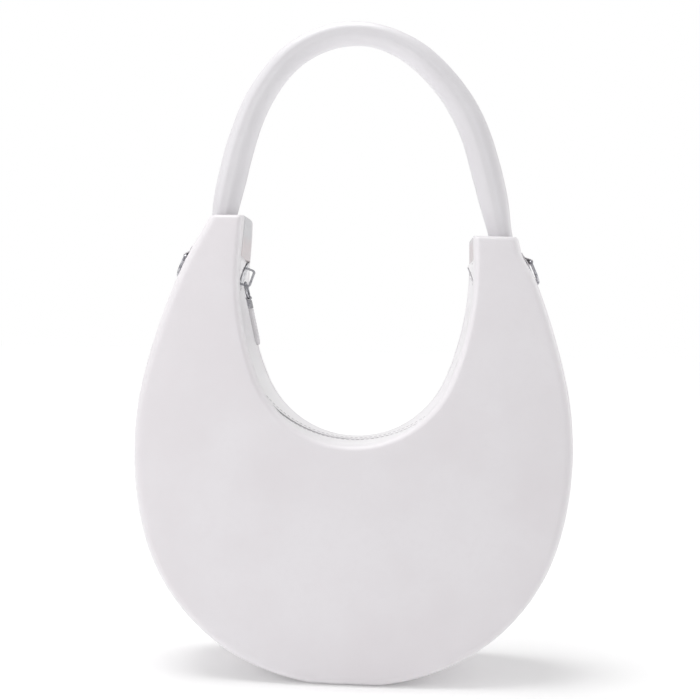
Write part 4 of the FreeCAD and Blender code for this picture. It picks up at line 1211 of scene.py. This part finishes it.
def stitchTree():
    inputs = {"Sewn Line": "Geometry", "Pitch": "Float", "Stitch Length": "Float", "Thread Radius": "Float",
              "Thread": "Material"}
    tree, given, result = startTree("sewnStitches", "GeometryNodeTree", inputs, {"Stitches": "Geometry"})
    line = put(tree, "GeometryNodeMeshToCurve", {"Mesh": given["Sewn Line"]})
    line = put(tree, "GeometryNodeResampleCurve", {"Curve": line, "Length": given["Pitch"]}, mode="LENGTH")
    bead = put(tree, "GeometryNodeMeshUVSphere", {"Segments": 8, "Rings": 5, "Radius": 1.0})
    half, radius = given["Stitch Length"] * 0.5, given["Thread Radius"]
    size = put(tree, "ShaderNodeCombineXYZ", {"X": half, "Y": radius, "Z": radius})
    bead = put(tree, "GeometryNodeTransform", {"Geometry": bead, "Scale": size})
    way = put(tree, "GeometryNodeInputTangent")
    turned = put(tree, "FunctionNodeAlignRotationToVector", {"Vector": way}, axis="X")
    laid = put(tree, "GeometryNodeInstanceOnPoints", {"Points": line, "Instance": bead, "Rotation": turned})
    return endTree(tree, result, laid, given["Thread"])


sewnStitches = stitchTree()


def sewLines(name, lines, body, kind):
    pitch, length, radius = [size * millimetre for size in stitch[kind]]
    piece = makeLines(name, lines)
    useTree(piece, sewnStitches, {
        "Pitch": pitch, "Stitch Length": length, "Thread Radius": radius, "Thread": threadTwist,
    })
    onBag(piece, body=body)
    print("stitches:", name, len(piece.data.polygons), "faces")


def facingStitchLine(side):
    above, below = facingRuns(facingLeather["stitchRibs"])
    spare = facingLeather["stitchSpare"]
    line = facingPoint(above, below, facingLeather["stitchShare"], side, facingLeather["stitchLift"])
    return sagged(line)[spare:-spare]


def tabStitchLine(side):
    # Both sides and the foot, but not the head
    x = side * (pullTab["thickness"] / 2 * pullTab["stitchDepth"] + pullTab["stitchLift"])
    return [tabPlace(x, y, z) for y, z in tabOutline(pullTab["stitchInset"])[:-pullTab["headSteps"]]]


def loopStitchLine(side):
    x, z = loopPlace(strapLoop["strip"] * 2 - strapLoop["stitchSink"], -strapLoop["stitchDrop"], side)
    return [(x, y, z) for y in np.linspace(-strapLoop["stitchHalf"], strapLoop["stitchHalf"], 12)]


sewLines("facingStitches", [facingStitchLine(1), facingStitchLine(-1)], "bag", "plain")
sewLines("pullTabStitches", [tabStitchLine(1), tabStitchLine(-1)], "pull_tab", "fine")
sewLines("strapLoopStitches", [loopStitchLine(-1), loopStitchLine(1)], "bag", "fine")


# Rigid pieces keep their construction shape and get finished metal, plastic or board

rigidFinish = [
    (zipMetal, ["zip_slider", "slider_bail", "zip_end_stops"]),
    (ringMetal, ["pull_ring", "pull_clamp", "left_strap_ring", "right_strap_ring"]),
    (paleTeeth, ["front_zip_teeth", "back_zip_teeth"]),
    (greyBoard, ["front_board", "back_board", "base_board"]),
]
for material, nodes in rigidFinish:
    for node in nodes:
        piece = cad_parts[node]
        if not piece.material_slots:
            piece.data.materials.append(material)
        for place in piece.material_slots:
            place.material = material
print("rigid pieces finished:", sum(len(nodes) for material, nodes in rigidFinish))


# Stage: a wide pale floor under white air, with a soft key from the left and soft lights from above and
# the right. The floor glows more from nearReach to farReach, both in metres from the bag.

stage = {
    "reach": 40.0, "glow": 0.55, "nearGlow": 0.2, "nearReach": 0.6, "farReach": 1.7, "above": 1500,
    "paper": [(244, 244, 244), (249, 249, 249)], "tooth": 900.0, "roughness": 0.9, "gloss": 0.1,
    "air": 0.49, "backdrop": 1.0,
    "lights": [  # name, place, aim, width, power and colour
        ("keyLight", (-1.5, -0.9, 0.9), (0, 0, 0.18), 1.2, 7.0, (1.0, 0.99, 1.0)),
        ("topLight", (-0.3, 0.0, 1.7), (0, 0, 0.25), 1.2, 17.0, (1, 1, 1)),
        ("rightLight", (1.6, 0.6, 0.7), (0, 0, 0.22), 1.2, 5.6, (1, 1, 1)),
    ],
}
white = (1, 1, 1, 1)


def makeFloor():
    reach = stage["reach"] / millimetre
    points = np.array([(x, y, 0) for y in (-reach, reach) for x in (-reach, reach)]).reshape(2, 2, 3)
    material = bpy.data.materials.new("palePaper")
    material.use_nodes = True
    tree = material.node_tree
    place = put(tree, "ShaderNodeTexCoord", out="Object")
    tooth = noise(place, stage["tooth"], 3.0)
    away = put(tree, "ShaderNodeVectorMath", {0: place}, "Value", operation="LENGTH")
    far = put(tree, "ShaderNodeMapRange", {0: away, 1: stage["nearReach"], 2: stage["farReach"]})
    near = (*[stage["nearGlow"]] * 3, 1)
    plug(tree, tree.nodes["Principled BSDF"], {
        "Base Color": mixColour(tooth, *[shade(*tint) for tint in stage["paper"]]),
        "Roughness": stage["roughness"], "Specular IOR Level": stage["gloss"],
        "Emission Color": mixColour(far, near, white), "Emission Strength": stage["glow"],
    })
    makeGrid("paleFloor", points, material, lookAt=(0, 0, stage["above"]))


def softLight(name, place, aim, width, power, colour):
    lamp = bpy.data.lights.new(name, "AREA")
    lamp.shape = "DISK"
    lamp.size = width
    lamp.energy = power
    lamp.color = colour
    light = bpy.data.objects.new(name, lamp)
    light.location = place
    light.rotation_euler = (Vector(aim) - Vector(place)).to_track_quat("-Z", "Y").to_euler()
    scene.collection.objects.link(light)


def makeAir():
    # White to the camera, and dimmer as a light on the bag
    world = bpy.data.worlds.new("studioAir")
    world.use_nodes = True
    air = world.node_tree
    dim = air.nodes["Background"]
    plug(air, dim, {"Color": white, "Strength": stage["air"]})
    bright = put(air, "ShaderNodeBackground", {"Color": white, "Strength": stage["backdrop"]})
    seen = put(air, "ShaderNodeLightPath", out="Is Camera Ray")
    mixed = put(air, "ShaderNodeMixShader", {0: seen, 1: Wire(air, dim.outputs[0]), 2: bright})
    plug(air, air.nodes["World Output"], {"Surface": mixed})
    scene.world = world
    scene.view_settings.view_transform = "Standard"


makeFloor()
for light in stage["lights"]:
    softLight(*light)
makeAir()


# Camera at the photograph's place, worked out for a square image of 700 by 700

cameraFit = {
    "place": (0.02402, -0.59534, 0.19557), "look": (-0.0457, 0.99895, -0.0025), "roll": 1.279,
    "focal": 967.2 / 700, "sensor": 36.0, "clip": (0.01, 200),
}


def makeCamera():
    lens = bpy.data.cameras.new("photoCamera")
    lens.sensor_width = cameraFit["sensor"]
    lens.lens = cameraFit["sensor"] * cameraFit["focal"]
    lens.clip_start, lens.clip_end = cameraFit["clip"]
    camera = bpy.data.objects.new("photoCamera", lens)
    look = Vector(cameraFit["look"]).normalized()
    level = look.cross(Vector((0, 0, 1))).normalized()
    up = level.cross(look)
    roll = math.radians(cameraFit["roll"])
    right = level * math.cos(roll) + up * math.sin(roll)
    top = up * math.cos(roll) - level * math.sin(roll)
    turn = Matrix((right, top, -look)).transposed().to_4x4()
    camera.matrix_world = Matrix.Translation(cameraFit["place"]) @ turn
    scene.collection.objects.link(camera)
    scene.camera = camera


makeCamera()
print("stage, lights and camera set")
